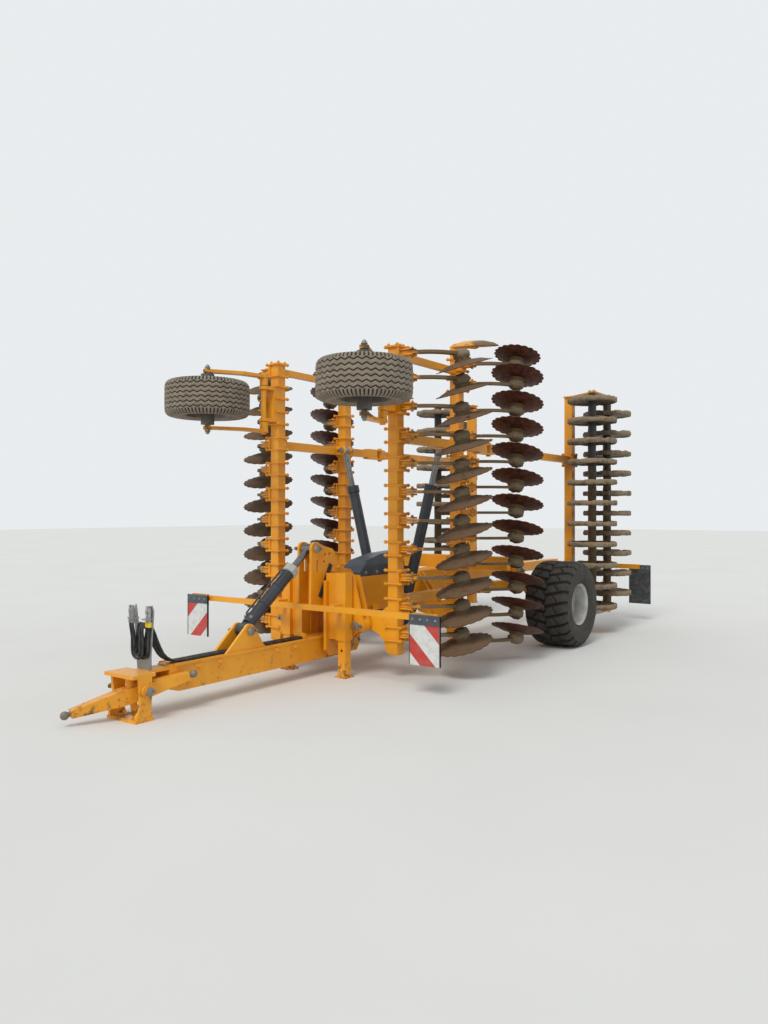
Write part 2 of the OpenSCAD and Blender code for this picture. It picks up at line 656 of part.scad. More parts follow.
// Dished disc at the origin; it opens downwards, away from its hub, and its flat rim is notched
module dished_disc(r) difference() {
    rotate_extrude($fn = 64)
        polygon([[0, -disc_t / 2], [disc_flat_r, -disc_t / 2], [r * 0.62, -disc_dish * 0.36],
            [r - disc_rim_w, -disc_dish - disc_t / 2], [r, -disc_dish - disc_t / 2], [r, -disc_dish + disc_t / 2],
            [r - disc_rim_w, -disc_dish + disc_t / 2], [r * 0.62, -disc_dish * 0.36 + disc_t],
            [disc_flat_r, disc_t / 2], [0, disc_t / 2]]);
    for (i = [0:disc_notches - 1]) rotate([0, 0, i * 360 / disc_notches])
        translate([r + notch_r - notch_depth, 0, -disc_dish - 20]) cylinder(h = 40, r = notch_r, $fn = 16);
}

module disc_at(beam_y, h, up, tilt, r) translate([disc_x, beam_y + disc_back, h]) rotate(tilt)
    mirror([0, 0, up > 0 ? 0 : 1]) dished_disc(r);

module front_arms(side) color("orange") on_side(side)
    for (h = front_disc_heights) disc_arm(0, h, 1, front_disc_tilt);

module rear_arms(side) color("orange") on_side(side)
    for (h = rear_disc_heights) disc_arm(row_gap, h, -1, rear_disc_tilt);

module front_discs(side) color("sienna") on_side(side)
    for (h = front_disc_heights) disc_at(0, h, 1, front_disc_tilt, disc_r);

module rear_discs(side) color("sienna") on_side(side)
    for (h = rear_disc_heights) disc_at(row_gap, h, -1, rear_disc_tilt, h > 2900 ? edge_disc_r : disc_r);

module gauge_arm(side) color("orange") on_side(side) {
    difference() {
        union() {
            for (z = [gauge_h - gauge_arm_half - 15, gauge_h + gauge_arm_half - 15])
                translate([0, 0, z]) linear_extrude(30) {
                    polygon([[beam_x - 40, gauge_pivot_y], [beam_x + 40, gauge_pivot_y], [beam_x + 80, -420],
                        [gauge_x + 36, -gauge_ahead], [gauge_x - 36, -gauge_ahead], [beam_x, -460]]);
                    translate([beam_x, gauge_pivot_y]) circle(r = 44);
                    translate([gauge_x, -gauge_ahead]) circle(r = 40);
                }
            pin_z(beam_x, gauge_pivot_y, [gauge_h - gauge_arm_half, gauge_h - 178], 40);
            pin_z(beam_x, gauge_pivot_y, [gauge_h + 178, gauge_h + gauge_arm_half], 40);
            pin_z(gauge_x, -gauge_ahead, [gauge_h - gauge_arm_half - 28, gauge_h + gauge_arm_half + 28], gauge_axle_r);
        }
        pin_z(beam_x, gauge_pivot_y, [gauge_h - 400, gauge_h + 400], gauge_axle_r + pin_gap);
    }
}

// Wheel disc and rim seat, turned about Z, half width w either way
module rim_body(r, w, bore_r, hub_r, hub_half) rotate_extrude($fn = 72)
    polygon([[bore_r, -hub_half], [hub_r, -hub_half], [hub_r, -16], [r - 40, -16], [r - 22, -w + 30], [r, -w],
        [r, w], [r - 22, w - 30], [r - 22, 16], [hub_r, 16], [hub_r, hub_half], [bore_r, hub_half]]);

// Tyre carcass round its rim with a rounded shoulder, turned about Z; w is half its width
module tyre_body(r, rim_r, w) rotate_extrude($fn = 36)
    polygon([[rim_r, -w * 0.82], [(r + rim_r) / 2, -w], [r - 30, -w * 0.92], [r, -w * 0.62], [r, w * 0.62],
        [r - 30, w * 0.92], [(r + rim_r) / 2, w], [rim_r, w * 0.82]]);

// Support tyre: the carcass with grooves between its ribs
module ribbed_tyre(r, rim_r, w) difference() {
    tyre_body(r, rim_r, w);
    for (k = [-1.5:1.5]) translate([0, 0, k * w * 0.34]) rotate_extrude($fn = 36)
        translate([r - rib_depth, -rib_groove / 2]) square([rib_depth + 5, rib_groove]);
}

// Transport tyre: the carcass with two rows of slanted tread bars that meet near the middle
module barred_tyre(r, rim_r, w) {
    tyre_body(r - bar_height, rim_r, w);
    for (row = [-1, 1]) for (i = [0:tread_bars - 1]) rotate([0, 0, (i + (row > 0 ? 0.5 : 0)) * 360 / tread_bars])
        translate([r - bar_height - 14, 0, row * w * 0.46]) rotate([row * bar_slant, 0, 0])
            translate([0, -bar_w / 2, -w * 0.44]) cube([bar_height + 13, bar_w, w * 0.88]);
}

module gauge_rim(side) color("silver") on_side(side) translate([gauge_x, -gauge_ahead, gauge_h])
    rim_body(gauge_rim_r, gauge_tyre_w / 2 - 20, gauge_axle_r + pin_gap, 62, gauge_arm_half - 30);

module gauge_tyre(side) color("tan") on_side(side) translate([gauge_x, -gauge_ahead, gauge_h])
    ribbed_tyre(gauge_tyre_r, gauge_rim_r, gauge_tyre_w / 2);

module roller_end_plate(h, t) translate([0, 0, h]) linear_extrude(t) {
    polygon([[beam_x - 60, roller_beam_y - 70], [beam_x + 60, roller_beam_y - 70], [roller_x + 30, front_roller_y - 45],
        [roller_x + 50, front_roller_y], [roller_x + 50, roller_y2], [roller_x + 30, roller_y2 + 45],
        [beam_x + 60, roller_beam_y + 70], [beam_x - 60, roller_beam_y + 70]]);
    for (y = [front_roller_y, roller_y2]) translate([roller_x, y]) circle(r = 52);
}

module roller_frame(side) color("orange") on_side(side) {
    m = member_side / 2;
    centred_bar(beam_x, roller_beam_y, beam_side, [roller_foot, roller_head]);
    roller_end_plate(roller_foot - 14, 14);
    roller_end_plate(roller_head, 14);
    for (y = [front_roller_y, roller_y2]) {
        pin_z(roller_x, y, [roller_foot - 14, roller_foot + 40], 24);
        pin_z(roller_x, y, [roller_head - 40, roller_head + 14], 24);
    }
    for (h = [low_member_h, mid_member_h]) difference() {
        union() {
            block([beam_x - m, beam_x + m], [roller_pivot_y + 80, roller_beam_y - beam_side / 2], [h - m, h + m]);
            block([beam_x - m + 4, beam_x + m - 4], [roller_pivot_y, roller_pivot_y + 90], [h - m + 6, h + m - 6]);
            pin_z(beam_x, roller_pivot_y, [h - m + 6, h + m - 6], m - 4);
            // Clamp plates round the roller beam
            block([beam_x - 75, beam_x + 75], [roller_beam_y - 74, roller_beam_y - 50], [h - 85, h + 85]);
            block([beam_x - 75, beam_x + 75], [roller_beam_y + 50, roller_beam_y + 66], [h - 85, h + 85]);
        }
        pin_z(beam_x, roller_pivot_y, [h - m, h + m], roller_pin_r + pin_gap);
    }
}

// Roller along Z: a closed tube with a rim and a web for each ring
module packer_roller(count, first_h) {
    low = roller_foot + 8;
    high = roller_head - 8;
    difference() {
        pin_z(0, 0, [low, high], roller_tube_r);
        pin_z(0, 0, [low - 1, low + 36], 24 + pin_gap);
        pin_z(0, 0, [high - 36, high + 1], 24 + pin_gap);
    }
    for (i = [0:count - 1]) translate([0, 0, first_h + i * ring_pitch]) rotate_extrude($fn = 60)
        polygon([[roller_tube_r - 1, -ring_web_t / 2], [ring_r - ring_rim_t, -ring_web_t / 2],
            [ring_r - ring_rim_t, -ring_w / 2], [ring_r - 8, -ring_w / 2], [ring_r, -ring_w / 4],
            [ring_r, ring_w / 4], [ring_r - 8, ring_w / 2], [ring_r - ring_rim_t, ring_w / 2],
            [ring_r - ring_rim_t, ring_web_t / 2], [roller_tube_r - 1, ring_web_t / 2]]);
}

module front_roller(side) color("dimgray") on_side(side) translate([roller_x, front_roller_y, 0])
    packer_roller(front_ring_count, first_ring_h);

module rear_roller(side) color("dimgray") on_side(side) translate([roller_x, roller_y2, 0])
    packer_roller(front_ring_count - 1, first_ring_h + ring_pitch / 2);

module swing_arm(side) color("orange") on_side(side) {
    difference() {
        along(swing_arm_x, swing_arm_t) {
            polygon([[swing_pivot_y - 20, swing_pivot_h - 58], [swing_pivot_y + 40, swing_pivot_h + 52],
                [swing_pivot_y + 300, swing_pivot_h - 110], [road_axle_y + 40, road_axle_h + 62],
                [road_axle_y - 20, road_axle_h - 66], [swing_pivot_y + 240, swing_pivot_h - 240]]);
            translate([swing_pivot_y, swing_pivot_h]) circle(r = 62);
            translate([road_axle_y, road_axle_h]) circle(r = 70);
        }
        pin_x([swing_arm_x - 5, swing_arm_x + swing_arm_t + 5], swing_pivot_y, swing_pivot_h, 35 + pin_gap);
    }
    pin_x([swing_arm_x + swing_arm_t - 2, road_tyre_x + 40], road_axle_y, road_axle_h, stub_r);
}

module road_wheel_frame(side) on_side(side) translate([road_tyre_x, road_axle_y, road_axle_h]) rotate([0, 90, 0])
    children();

module road_rim(side) color("lightgray") road_wheel_frame(side) union() {
    rotate_extrude($fn = 72) polygon([[stub_r + pin_gap, -150], [90, -150], [100, 30], [road_rim_r - 30, 60],
        [road_rim_r - 22, -190], [road_rim_r, -215], [road_rim_r, 215], [road_rim_r - 22, 190],
        [road_rim_r - 30, 76], [100, 60], [90, 92], [50, 92], [50, 44], [stub_r + pin_gap, 44]]);
    translate([0, 0, 44]) cylinder(h = 48, r = 52);
}

module road_tyre(side) color("black") road_wheel_frame(side)
    barred_tyre(road_tyre_r, road_rim_r, road_tyre_w / 2);

in_place() main_frame();
in_place() headstock();
in_place() hood();
in_place() rear_boom();
in_place() board_bar();
in_place() warning_boards();
in_place() leg();  // leg_left
in_place() on_side(-1) leg();  // leg_right
in_place() drawbar();
in_place() hitch_head();
in_place() hose_rack();
in_place() hoses();
in_place() crossbar();
in_place() draft_barrel();
in_place() draft_rod();
in_place() fold_barrel(1);  // fold_barrel_left
in_place() fold_rod(1);  // fold_rod_left
in_place() fold_barrel(-1);  // fold_barrel_right
in_place() fold_rod(-1);  // fold_rod_right
in_place() wing_frame(1);  // wing_frame_left
in_place() front_arms(1);  // front_arms_left
in_place() front_discs(1);  // front_discs_left
in_place() rear_arms(1);  // rear_arms_left
in_place() rear_discs(1);  // rear_discs_left
in_place() wing_frame(-1);  // wing_frame_right
in_place() front_arms(-1);  // front_arms_right
in_place() front_discs(-1);  // front_discs_right
in_place() rear_arms(-1);  // rear_arms_right
in_place() rear_discs(-1);  // rear_discs_right
in_place() gauge_arm(1);  // gauge_arm_left
in_place() gauge_rim(1);  // gauge_rim_left
in_place() gauge_tyre(1);  // gauge_tyre_left
in_place() gauge_arm(-1);  // gauge_arm_right
in_place() gauge_rim(-1);  // gauge_rim_right
in_place() gauge_tyre(-1);  // gauge_tyre_right
in_place() roller_frame(1);  // roller_frame_left
in_place() front_roller(1);  // front_roller_left
in_place() rear_roller(1);  // rear_roller_left
in_place() roller_frame(-1);  // roller_frame_right
in_place() front_roller(-1);  // front_roller_right
in_place() rear_roller(-1);  // rear_roller_right
in_place() swing_arm(1);  // swing_arm_left
in_place() road_rim(1);  // road_rim_left
in_place() road_tyre(1);  // road_tyre_left
in_place() swing_arm(-1);  // swing_arm_right
in_place() road_rim(-1);  // road_rim_right
in_place() road_tyre(-1);  // road_tyre_right
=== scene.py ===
import math

import bpy
from mathutils import Matrix, Vector
from mathutils.noise import fractal


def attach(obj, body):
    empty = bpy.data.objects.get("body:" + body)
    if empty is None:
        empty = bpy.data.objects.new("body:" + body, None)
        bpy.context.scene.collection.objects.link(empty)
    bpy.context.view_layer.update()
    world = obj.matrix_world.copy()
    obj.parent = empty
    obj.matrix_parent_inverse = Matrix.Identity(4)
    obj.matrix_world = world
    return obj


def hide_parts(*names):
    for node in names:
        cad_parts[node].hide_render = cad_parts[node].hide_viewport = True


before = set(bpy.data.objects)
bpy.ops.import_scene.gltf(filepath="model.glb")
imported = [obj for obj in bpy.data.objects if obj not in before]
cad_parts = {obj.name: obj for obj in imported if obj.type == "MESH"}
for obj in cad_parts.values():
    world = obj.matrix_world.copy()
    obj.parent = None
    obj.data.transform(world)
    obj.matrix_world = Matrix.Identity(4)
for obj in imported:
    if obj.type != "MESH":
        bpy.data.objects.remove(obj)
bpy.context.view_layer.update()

scene = bpy.context.scene
scene.view_settings.view_transform = "Standard"

# Studio. A plain pale floor under an even sky, with one soft key light from the front left, and
# the camera where the photographer stood, at eye height and level.


def colour(code):
    """Turns an sRGB hex colour into the linear values that Blender uses."""
    parts = [int(code[i:i + 2], 16) / 255 for i in (1, 3, 5)]
    return [c / 12.92 if c < 0.04045 else ((c + 0.055) / 1.055) ** 2.4 for c in parts] + [1.0]


def fill(tree, node, links):
    """Fills a node's inputs with values or sockets."""
    for name, value in links.items():
        if isinstance(value, bpy.types.NodeSocket):
            tree.links.new(value, node.inputs[name])
        else:
            node.inputs[name].default_value = value


def add_node(tree, kind, links=None, **settings):
    """Adds a shader node with its settings, and fills its inputs with values or sockets."""
    made = tree.nodes.new("ShaderNode" + kind)
    for name, value in settings.items():
        setattr(made, name, value)
    fill(tree, made, links or {})
    return made


def new_material(name):
    """A material, its node tree and the place that its patterns read, in Object coordinates."""
    made = bpy.data.materials.new(name)
    made.use_nodes = True
    return made, made.node_tree, add_node(made.node_tree, "TexCoord").outputs["Object"]


def set_surface(tree, links):
    """Fills the inputs of a material's surface shader."""
    fill(tree, tree.nodes["Principled BSDF"], links)


def deselect():
    for other in bpy.context.selected_objects:
        other.select_set(False)


camera_at = Vector((4.798, -6.965, 1.47))
looking = Vector((-0.588, 0.809, 0.0))
lens_mm = 28.125
floor_size = 120

camera = bpy.data.objects.new("camera", bpy.data.cameras.new("camera"))
scene.collection.objects.link(camera)
camera.location = camera_at
camera.rotation_euler = looking.to_track_quat("-Z", "Y").to_euler()
camera.data.lens = lens_mm
camera.data.sensor_width = 36
camera.data.sensor_fit = "AUTO"
camera.data.clip_end = 300
scene.camera = camera

world = bpy.data.worlds.new("sky")
scene.world = world
world.use_nodes = True
tree = world.node_tree
tree.nodes.clear()
path = add_node(tree, "LightPath")
seen = add_node(tree, "Math", {0: path.outputs["Is Camera Ray"], 1: path.outputs["Is Glossy Ray"]},
                operation="MAXIMUM")
seen = add_node(tree, "Math", {0: seen.outputs[0], 1: path.outputs["Is Transmission Ray"]},
                operation="MAXIMUM")
strength = add_node(tree, "MapRange", {"Value": seen.outputs[0], "To Min": 0.72, "To Max": 0.93})
sky = add_node(tree, "Background", {"Color": colour("#F1F4F6"), "Strength": strength.outputs[0]})
add_node(tree, "OutputWorld", {"Surface": sky.outputs[0]})

sun = bpy.data.objects.new("key_light", bpy.data.lights.new("key_light", "SUN"))
scene.collection.objects.link(sun)
sun.data.energy = 1.7
sun.data.angle = math.radians(24)
sun.data.color = (1.0, 0.97, 0.92)
sun.rotation_euler = Vector((-0.15, 0.62, -0.78)).to_track_quat("-Z", "Y").to_euler()

deselect()
bpy.ops.mesh.primitive_plane_add(size=floor_size)
floor = bpy.context.active_object
floor.name = "floor"
plaster, tree, place = new_material("floor_plaster")
mottle = add_node(tree, "TexNoise", {"Vector": place, "Scale": 0.6, "Detail": 4}).outputs[0]
shade = add_node(tree, "Mix", {0: mottle, 6: colour("#D3D4D2"), 7: colour("#DDDEDC")}, data_type="RGBA")
set_surface(tree, {"Base Color": shade.outputs[2], "Roughness": 0.85})
floor.data.materials.append(plaster)


# Chassis and wing steel. Welded box beams and cut plates, sprayed with orange enamel, which has a
# soft gloss, a dusty film on what faces up, and brown mud where the discs and the wheels throw it.

mm = 0.001


def dress(material, *nodes):
    """Gives CAD nodes that material."""
    for name in nodes:
        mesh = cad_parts[name].data
        mesh.materials.clear()
        mesh.materials.append(material)


def enamel(name, paint, deep, mud_axis, mud_none, mud_full, mud_most=0.85):
    """Sprayed enamel; mud grows from none to full between two places along an axis."""
    made, tree, place = new_material(name)
    broad = add_node(tree, "TexNoise", {"Vector": place, "Scale": 2.2, "Detail": 3}).outputs[0]
    broad = add_node(tree, "MapRange", {"Value": broad, "From Min": 0.35, "From Max": 0.65}).outputs[0]
    tone = add_node(tree, "Mix", {0: broad, 6: colour(paint), 7: colour(deep)}, data_type="RGBA").outputs[2]
    # A dusty film settles on what faces up, in grains of about 20 mm
    facing = add_node(tree, "NewGeometry").outputs["Normal"]
    up = add_node(tree, "SeparateXYZ", {0: facing}).outputs["Z"]
    up = add_node(tree, "MapRange", {"Value": up, "From Min": 0.3, "From Max": 0.95}).outputs[0]
    grain = add_node(tree, "TexNoise", {"Vector": place, "Scale": 1 / (20 * mm), "Detail": 4}).outputs[0]
    film = add_node(tree, "Math", {0: up, 1: grain}, operation="MULTIPLY").outputs[0]
    film = add_node(tree, "Math", {0: film, 1: 0.55}, operation="MULTIPLY").outputs[0]
    tone = add_node(tree, "Mix", {0: film, 6: tone, 7: colour("#C2A06A")}, data_type="RGBA").outputs[2]
    # Dried mud in splashes of 60 mm with 8 mm crumbs
    axes = add_node(tree, "SeparateXYZ", {0: place})
    along = add_node(tree, "Math", {0: axes.outputs[mud_axis]}, operation="ABSOLUTE").outputs[0]
    reach = add_node(tree, "MapRange", {"Value": along, "From Min": mud_none, "From Max": mud_full,
                                        "To Max": mud_most}).outputs[0]
    splash = add_node(tree, "TexNoise", {"Vector": place, "Scale": 1 / (60 * mm), "Detail": 7,
                                         "Roughness": 0.68}).outputs[0]
    edge = add_node(tree, "Math", {0: reach, 1: splash}, operation="ADD").outputs[0]
    mud = add_node(tree, "MapRange", {"Value": edge, "From Min": 0.74, "From Max": 0.88}).outputs[0]
    crumb = add_node(tree, "TexNoise", {"Vector": place, "Scale": 1 / (8 * mm), "Detail": 5}).outputs[0]
    earth = add_node(tree, "Mix", {0: crumb, 6: colour("#4A3928"), 7: colour("#85704F")},
                     data_type="RGBA").outputs[2]
    tone = add_node(tree, "Mix", {0: mud, 6: tone, 7: earth}, data_type="RGBA").outputs[2]
    gloss = add_node(tree, "MapRange", {"Value": grain, "To Min": 0.34, "To Max": 0.52}).outputs[0]
    rough = add_node(tree, "Mix", {0: mud, 2: gloss, 3: 0.95}).outputs[0]
    height = add_node(tree, "Math", {0: mud, 1: crumb}, operation="MULTIPLY").outputs[0]
    bump = add_node(tree, "Bump", {"Height": height, "Strength": 0.7, "Distance": 0.008}).outputs[0]
    set_surface(tree, {"Base Color": tone, "Roughness": rough, "Normal": bump, "Coat Weight": 0.12})
    return made


chassis_paint = enamel("chassis_enamel", "#F0A61E", "#E09312", "Z", 0.55, 0.02, 0.27)
wing_paint = enamel("wing_enamel", "#F0A51C", "#DC9012", "X", 0.765, 1.1, 0.75)
arm_paint = enamel("arm_enamel", "#E89C18", "#CE8410", "X", 0.83, 1.14, 0.9)
roller_paint = enamel("roller_beam_enamel", "#E99D18", "#C98212", "Y", 2.2, 3.6, 0.35)
dress(chassis_paint, "main_frame", "headstock", "rear_boom", "board_bar", "leg_left", "leg_right", "drawbar",
      "hitch_head", "crossbar", "swing_arm_left", "swing_arm_right")
dress(wing_paint, "wing_frame_left", "wing_frame_right", "gauge_arm_left", "gauge_arm_right")
dress(arm_paint, "front_arms_left", "front_arms_right", "rear_arms_left", "rear_arms_right")
dress(roller_paint, "roller_frame_left", "roller_frame_right")


# Discs. Dished and notched boron steel plates, rusted red brown and dark where they face down, with
# dry grey brown mud on what faces up.


def weathered_steel(name, dark, rust, mud_colour, mud_low, mud_high, metallic=0.25):
    """Rusted steel under patches of dried mud, thicker on what faces up."""
    made, tree, place = new_material(name)
    stain = add_node(tree, "TexNoise", {"Vector": place, "Scale": 1 / (45 * mm), "Detail": 6,
                                        "Roughness": 0.6}).outputs[0]
    stain = add_node(tree, "MapRange", {"Value": stain, "From Min": 0.35, "From Max": 0.65}).outputs[0]
    tone = add_node(tree, "Mix", {0: stain, 6: colour(dark), 7: colour(rust)}, data_type="RGBA").outputs[2]
    facing = add_node(tree, "NewGeometry").outputs["Normal"]
    up = add_node(tree, "SeparateXYZ", {0: facing}).outputs["Z"]
    bias = add_node(tree, "MapRange", {"Value": up, "From Min": -0.9, "From Max": 0.9, "To Min": mud_low,
                                       "To Max": mud_high}).outputs[0]
    patch = add_node(tree, "TexNoise", {"Vector": place, "Scale": 1 / (70 * mm), "Detail": 8,
                                        "Roughness": 0.7}).outputs[0]
    edge = add_node(tree, "Math", {0: bias, 1: patch}, operation="ADD").outputs[0]
    mud = add_node(tree, "MapRange", {"Value": edge, "From Min": 0.72, "From Max": 0.86}).outputs[0]
    crumb = add_node(tree, "TexNoise", {"Vector": place, "Scale": 1 / (7 * mm), "Detail": 6}).outputs[0]
    pale = [c * 1.45 for c in colour(mud_colour)[:3]] + [1.0]
    earth = add_node(tree, "Mix", {0: crumb, 6: colour(mud_colour), 7: pale}, data_type="RGBA").outputs[2]
    tone = add_node(tree, "Mix", {0: mud, 6: tone, 7: earth}, data_type="RGBA").outputs[2]
    rough = add_node(tree, "MapRange", {"Value": mud, "To Min": 0.5, "To Max": 0.95}).outputs[0]
    bump = add_node(tree, "Bump", {"Height": crumb, "Strength": 0.55, "Distance": 0.006}).outputs[0]
    set_surface(tree, {"Base Color": tone, "Roughness": rough, "Normal": bump, "Metallic": metallic})
    return made


disc_steel = weathered_steel("rusted_disc_steel", "#26140F", "#6A3622", "#66523D", 0.02, 0.4)
dress(disc_steel, "front_discs_left", "front_discs_right", "rear_discs_left", "rear_discs_right")


# Bolts in the discs' middles. Five zinc-plated hexagon heads with washers hold each disc to its hub,
# packed round with the soil that the hub throws.


# The frame's origin lies this many mm behind the front beams
origin_s = 1167


def start(kind, **size):
    """Adds a primitive with nothing else selected."""
    deselect()
    getattr(bpy.ops.mesh, "primitive_" + kind + "_add")(**size)
    return bpy.context.active_object


def break_edges(part, width, segments=1):
    """Takes the sharpness off a part's edges, as grinding or casting leaves them."""
    edge = part.modifiers.new("edges", "BEVEL")
    edge.width, edge.segments = width, segments
    edge.limit_method, edge.angle_limit = "ANGLE", math.radians(40)
    bpy.context.view_layer.objects.active = part
    bpy.ops.object.modifier_apply(modifier="edges")
    return part


def settle(part):
    """Puts a part's place and turn into its mesh."""
    deselect()
    part.select_set(True)
    bpy.context.view_layer.objects.active = part
    bpy.ops.object.transform_apply(location=True, rotation=True, scale=True)
    return part


def bar(low, high, edge=3):
    """A cut flat bar between two corners in mm, x and z as they are and y behind the front beams."""
    a, b = row(*low), row(*high)
    part = start("cube", size=1, location=(a + b) / 2)
    part.scale = [abs(v) for v in b - a]
    return break_edges(settle(part), edge * mm)


def row(x, s, z):
    """A place in mm, s behind the front beams, as a point in metres."""
    return Vector((x * mm, (s - origin_s) * mm, z * mm))


def weld(parts):
    """Joins parts to one mesh at the origin."""
    deselect()
    for part in parts:
        part.select_set(True)
    bpy.context.view_layer.objects.active = parts[0]
    if len(parts) > 1:
        bpy.ops.object.join()
    bpy.ops.object.transform_apply(location=True, rotation=True, scale=True)
    return bpy.context.active_object


def fastener(radius):
    """Hexagon nut on a washer, standing on the origin along Z, with the bolt's end in it."""
    washer = start("cylinder", vertices=12, radius=1.35 * radius, depth=0.28 * radius,
                   location=(0, 0, 0.14 * radius))
    nut = start("cylinder", vertices=6, radius=radius, depth=0.85 * radius, location=(0, 0, 0.7 * radius))
    break_edges(nut, 0.1 * radius)
    end = start("cylinder", vertices=8, radius=0.52 * radius, depth=1.5 * radius,
                location=(0, 0, 0.75 * radius))
    return weld([washer, nut, end])


def copy_at(pattern, place):
    """A copy of a pattern, its own mesh moved to that place."""
    made = pattern.copy()
    made.data = pattern.data.copy()
    made.data.transform(place)
    scene.collection.objects.link(made)
    return made


def pointing(at, toward):
    """The place of a pattern that stands on that point with its Z that way."""
    turn = Vector(toward).to_track_quat("Z", "Y").to_matrix().to_4x4()
    return Matrix.Translation(at) @ turn


def discard(*patterns):
    for pattern in patterns:
        bpy.data.objects.remove(pattern, do_unlink=True)


def finish_piece(name, parts, material, body, smooth=35):
    """One named piece from its parts, which rides on its body."""
    made = weld(parts)
    bpy.ops.object.shade_smooth_by_angle(angle=math.radians(smooth))
    made.name = made.data.name = name
    made.data.materials.clear()
    made.data.materials.append(material)
    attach(made, body)
    return made


def both_sides(name, parts, material, body, smooth=35):
    """The left piece and its mirror image on the right."""
    left = finish_piece(name + "_left", parts, material, body + "_left", smooth)
    right = copy_at(left, Matrix.Scale(-1, 4, (1, 0, 0)))
    right.data.flip_normals()
    right.name = right.data.name = name + "_right"
    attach(right, body + "_right")
    return left, right


zinc = weathered_steel("dull_zinc_plate", "#8C8B86", "#A5A39C", "#6B5B45", -0.12, 0.1, 0.7)
soil = weathered_steel("caked_soil", "#6A5A48", "#84735C", "#75654F", 0.3, 0.5, 0.0)

disc_step = 250
front_heights = [2805] + [2584 - disc_step * i for i in range(10)]
rear_heights = [2983, 2787] + [2526 - disc_step * i for i in range(10)]


def tilted(x, y, z):
    """The turn of a disc, about X first, then Y, then Z."""
    turn = Matrix.Identity(4)
    for axis, angle in (("Z", z), ("Y", y), ("X", x)):
        turn = turn @ Matrix.Rotation(math.radians(angle), 4, axis)
    return turn


disc_x, front_disc_s, rear_disc_s = 1195, 350, 1400
disc_places = [Matrix.Translation(row(disc_x, front_disc_s, h)) @ tilted(16, -8, 0) for h in front_heights]
disc_places += [Matrix.Translation(row(disc_x, rear_disc_s, h)) @ tilted(-18.6, 0, 0)
                @ Matrix.Rotation(math.pi, 4, "X") for h in rear_heights]
head = fastener(11 * mm)
bolts = []
for place in disc_places:
    for k in range(5):
        at = Matrix.Rotation(math.radians(72 * k), 4, "Z") @ Matrix.Translation((0.054, 0, -0.0025))
        bolts.append(copy_at(head, place @ at @ Matrix.Rotation(math.pi, 4, "X")))
discard(head)
both_sides("disc_bolts", bolts, zinc, "wing")

# Hub soil. A rough lump of dried earth round each hub, where the discs throw it; no two that stand
# side by side are alike.

lumps = []
for variant in range(3):
    lump = start("ico_sphere", subdivisions=3, radius=1)
    for corner in lump.data.vertices:
        way = corner.co.copy()
        rough = fractal(way * 2.6 + Vector((variant * 7.3, 0, 0)), 1.0, 2.1, 4)
        corner.co = Vector((way.x, way.y, way.z * 0.72)) * (0.079 + 0.016 * rough)
        corner.co.z += 0.06
    lumps.append(lump)
caked = [copy_at(lumps[i % 3], place @ Matrix.Rotation(1.9 * i, 4, "Z"))
         for i, place in enumerate(disc_places)]
discard(*lumps)
both_sides("hub_soil", caked, soil, "wing", 60)

# Arm clamps. At each disc arm two pairs of flat bars grip the square beam between four long bolts,
# painted with the beams; the nuts were sprayed too.

nut = fastener(13 * mm)


def nut_at(x, s, z, way):
    """A nut that stands on a place in mm and points that way."""
    return copy_at(nut, pointing(row(x, s, z), way))


def long_bolt(x, s, z, length, turn):
    """The bare part of a bolt between two plates, turned by angles about the axes."""
    return settle(start("cylinder", vertices=8, radius=7 * mm, depth=length * mm, location=row(x, s, z),
                        rotation=turn))


clamp = []
for z in (-59, 59):
    clamp += [bar((788, -78, z - 11), (800, 78, z + 11)), bar((650, -78, z - 11), (664, 78, z + 11))]
    for s in (-64, 64):
        clamp.append(long_bolt(725, s, z, 150, (0, math.pi / 2, 0)))
        clamp += [nut_at(800, s, z, (1, 0, 0)), nut_at(650, s, z, (-1, 0, 0))]
for low, high in ((16, 30), (-30, -16)):
    clamp.append(bar((788, -46, low), (912, 46, high)))
clamp += [nut_at(884, 8, 30, (0, 0, 1)), nut_at(884, 8, -30, (0, 0, -1))]
clamp = weld(clamp)
beam_gap, arm_to_disc = 1050, 62
gripped = [copy_at(clamp, Matrix.Translation((0, 0, (h + arm_to_disc) * mm))) for h in front_heights]
gripped += [copy_at(clamp, Matrix.Translation((0, beam_gap * mm, (h - arm_to_disc) * mm)))
            for h in rear_heights]
discard(clamp)
both_sides("arm_clamps", gripped, wing_paint, "wing")

# Wing end plates and joints. A thicker cap bolted on the front beam's top, and flanges with bolts
# where the cross members meet the beams.

beam_top, cross_heights = 2932, (690, 2130)
caps = [bar((654, -60, beam_top), (774, 60, beam_top + 10))]
for x in (668, 760):
    for s in (-46, 46):
        caps.append(nut_at(x, s, beam_top + 10, (0, 0, 1)))
for h in cross_heights:
    for s, face, way in ((50, 62, 1), (988, 988, -1), (1100, 1112, 1)):
        caps.append(bar((662, s, h - 56), (766, s + 12, h + 56)))
        for x in (674, 754):
            for z in (-47, 47):
                caps.append(nut_at(x, face, h + z, (0, way, 0)))
both_sides("wing_flanges", caps, wing_paint, "wing")


# Support wheel tyres. Broad implement tyres with six zigzag grooves round the tread, their natural
# rubber dulled to beige grey by dust; lugs break the shoulders' edges. Moulded and vulcanised.


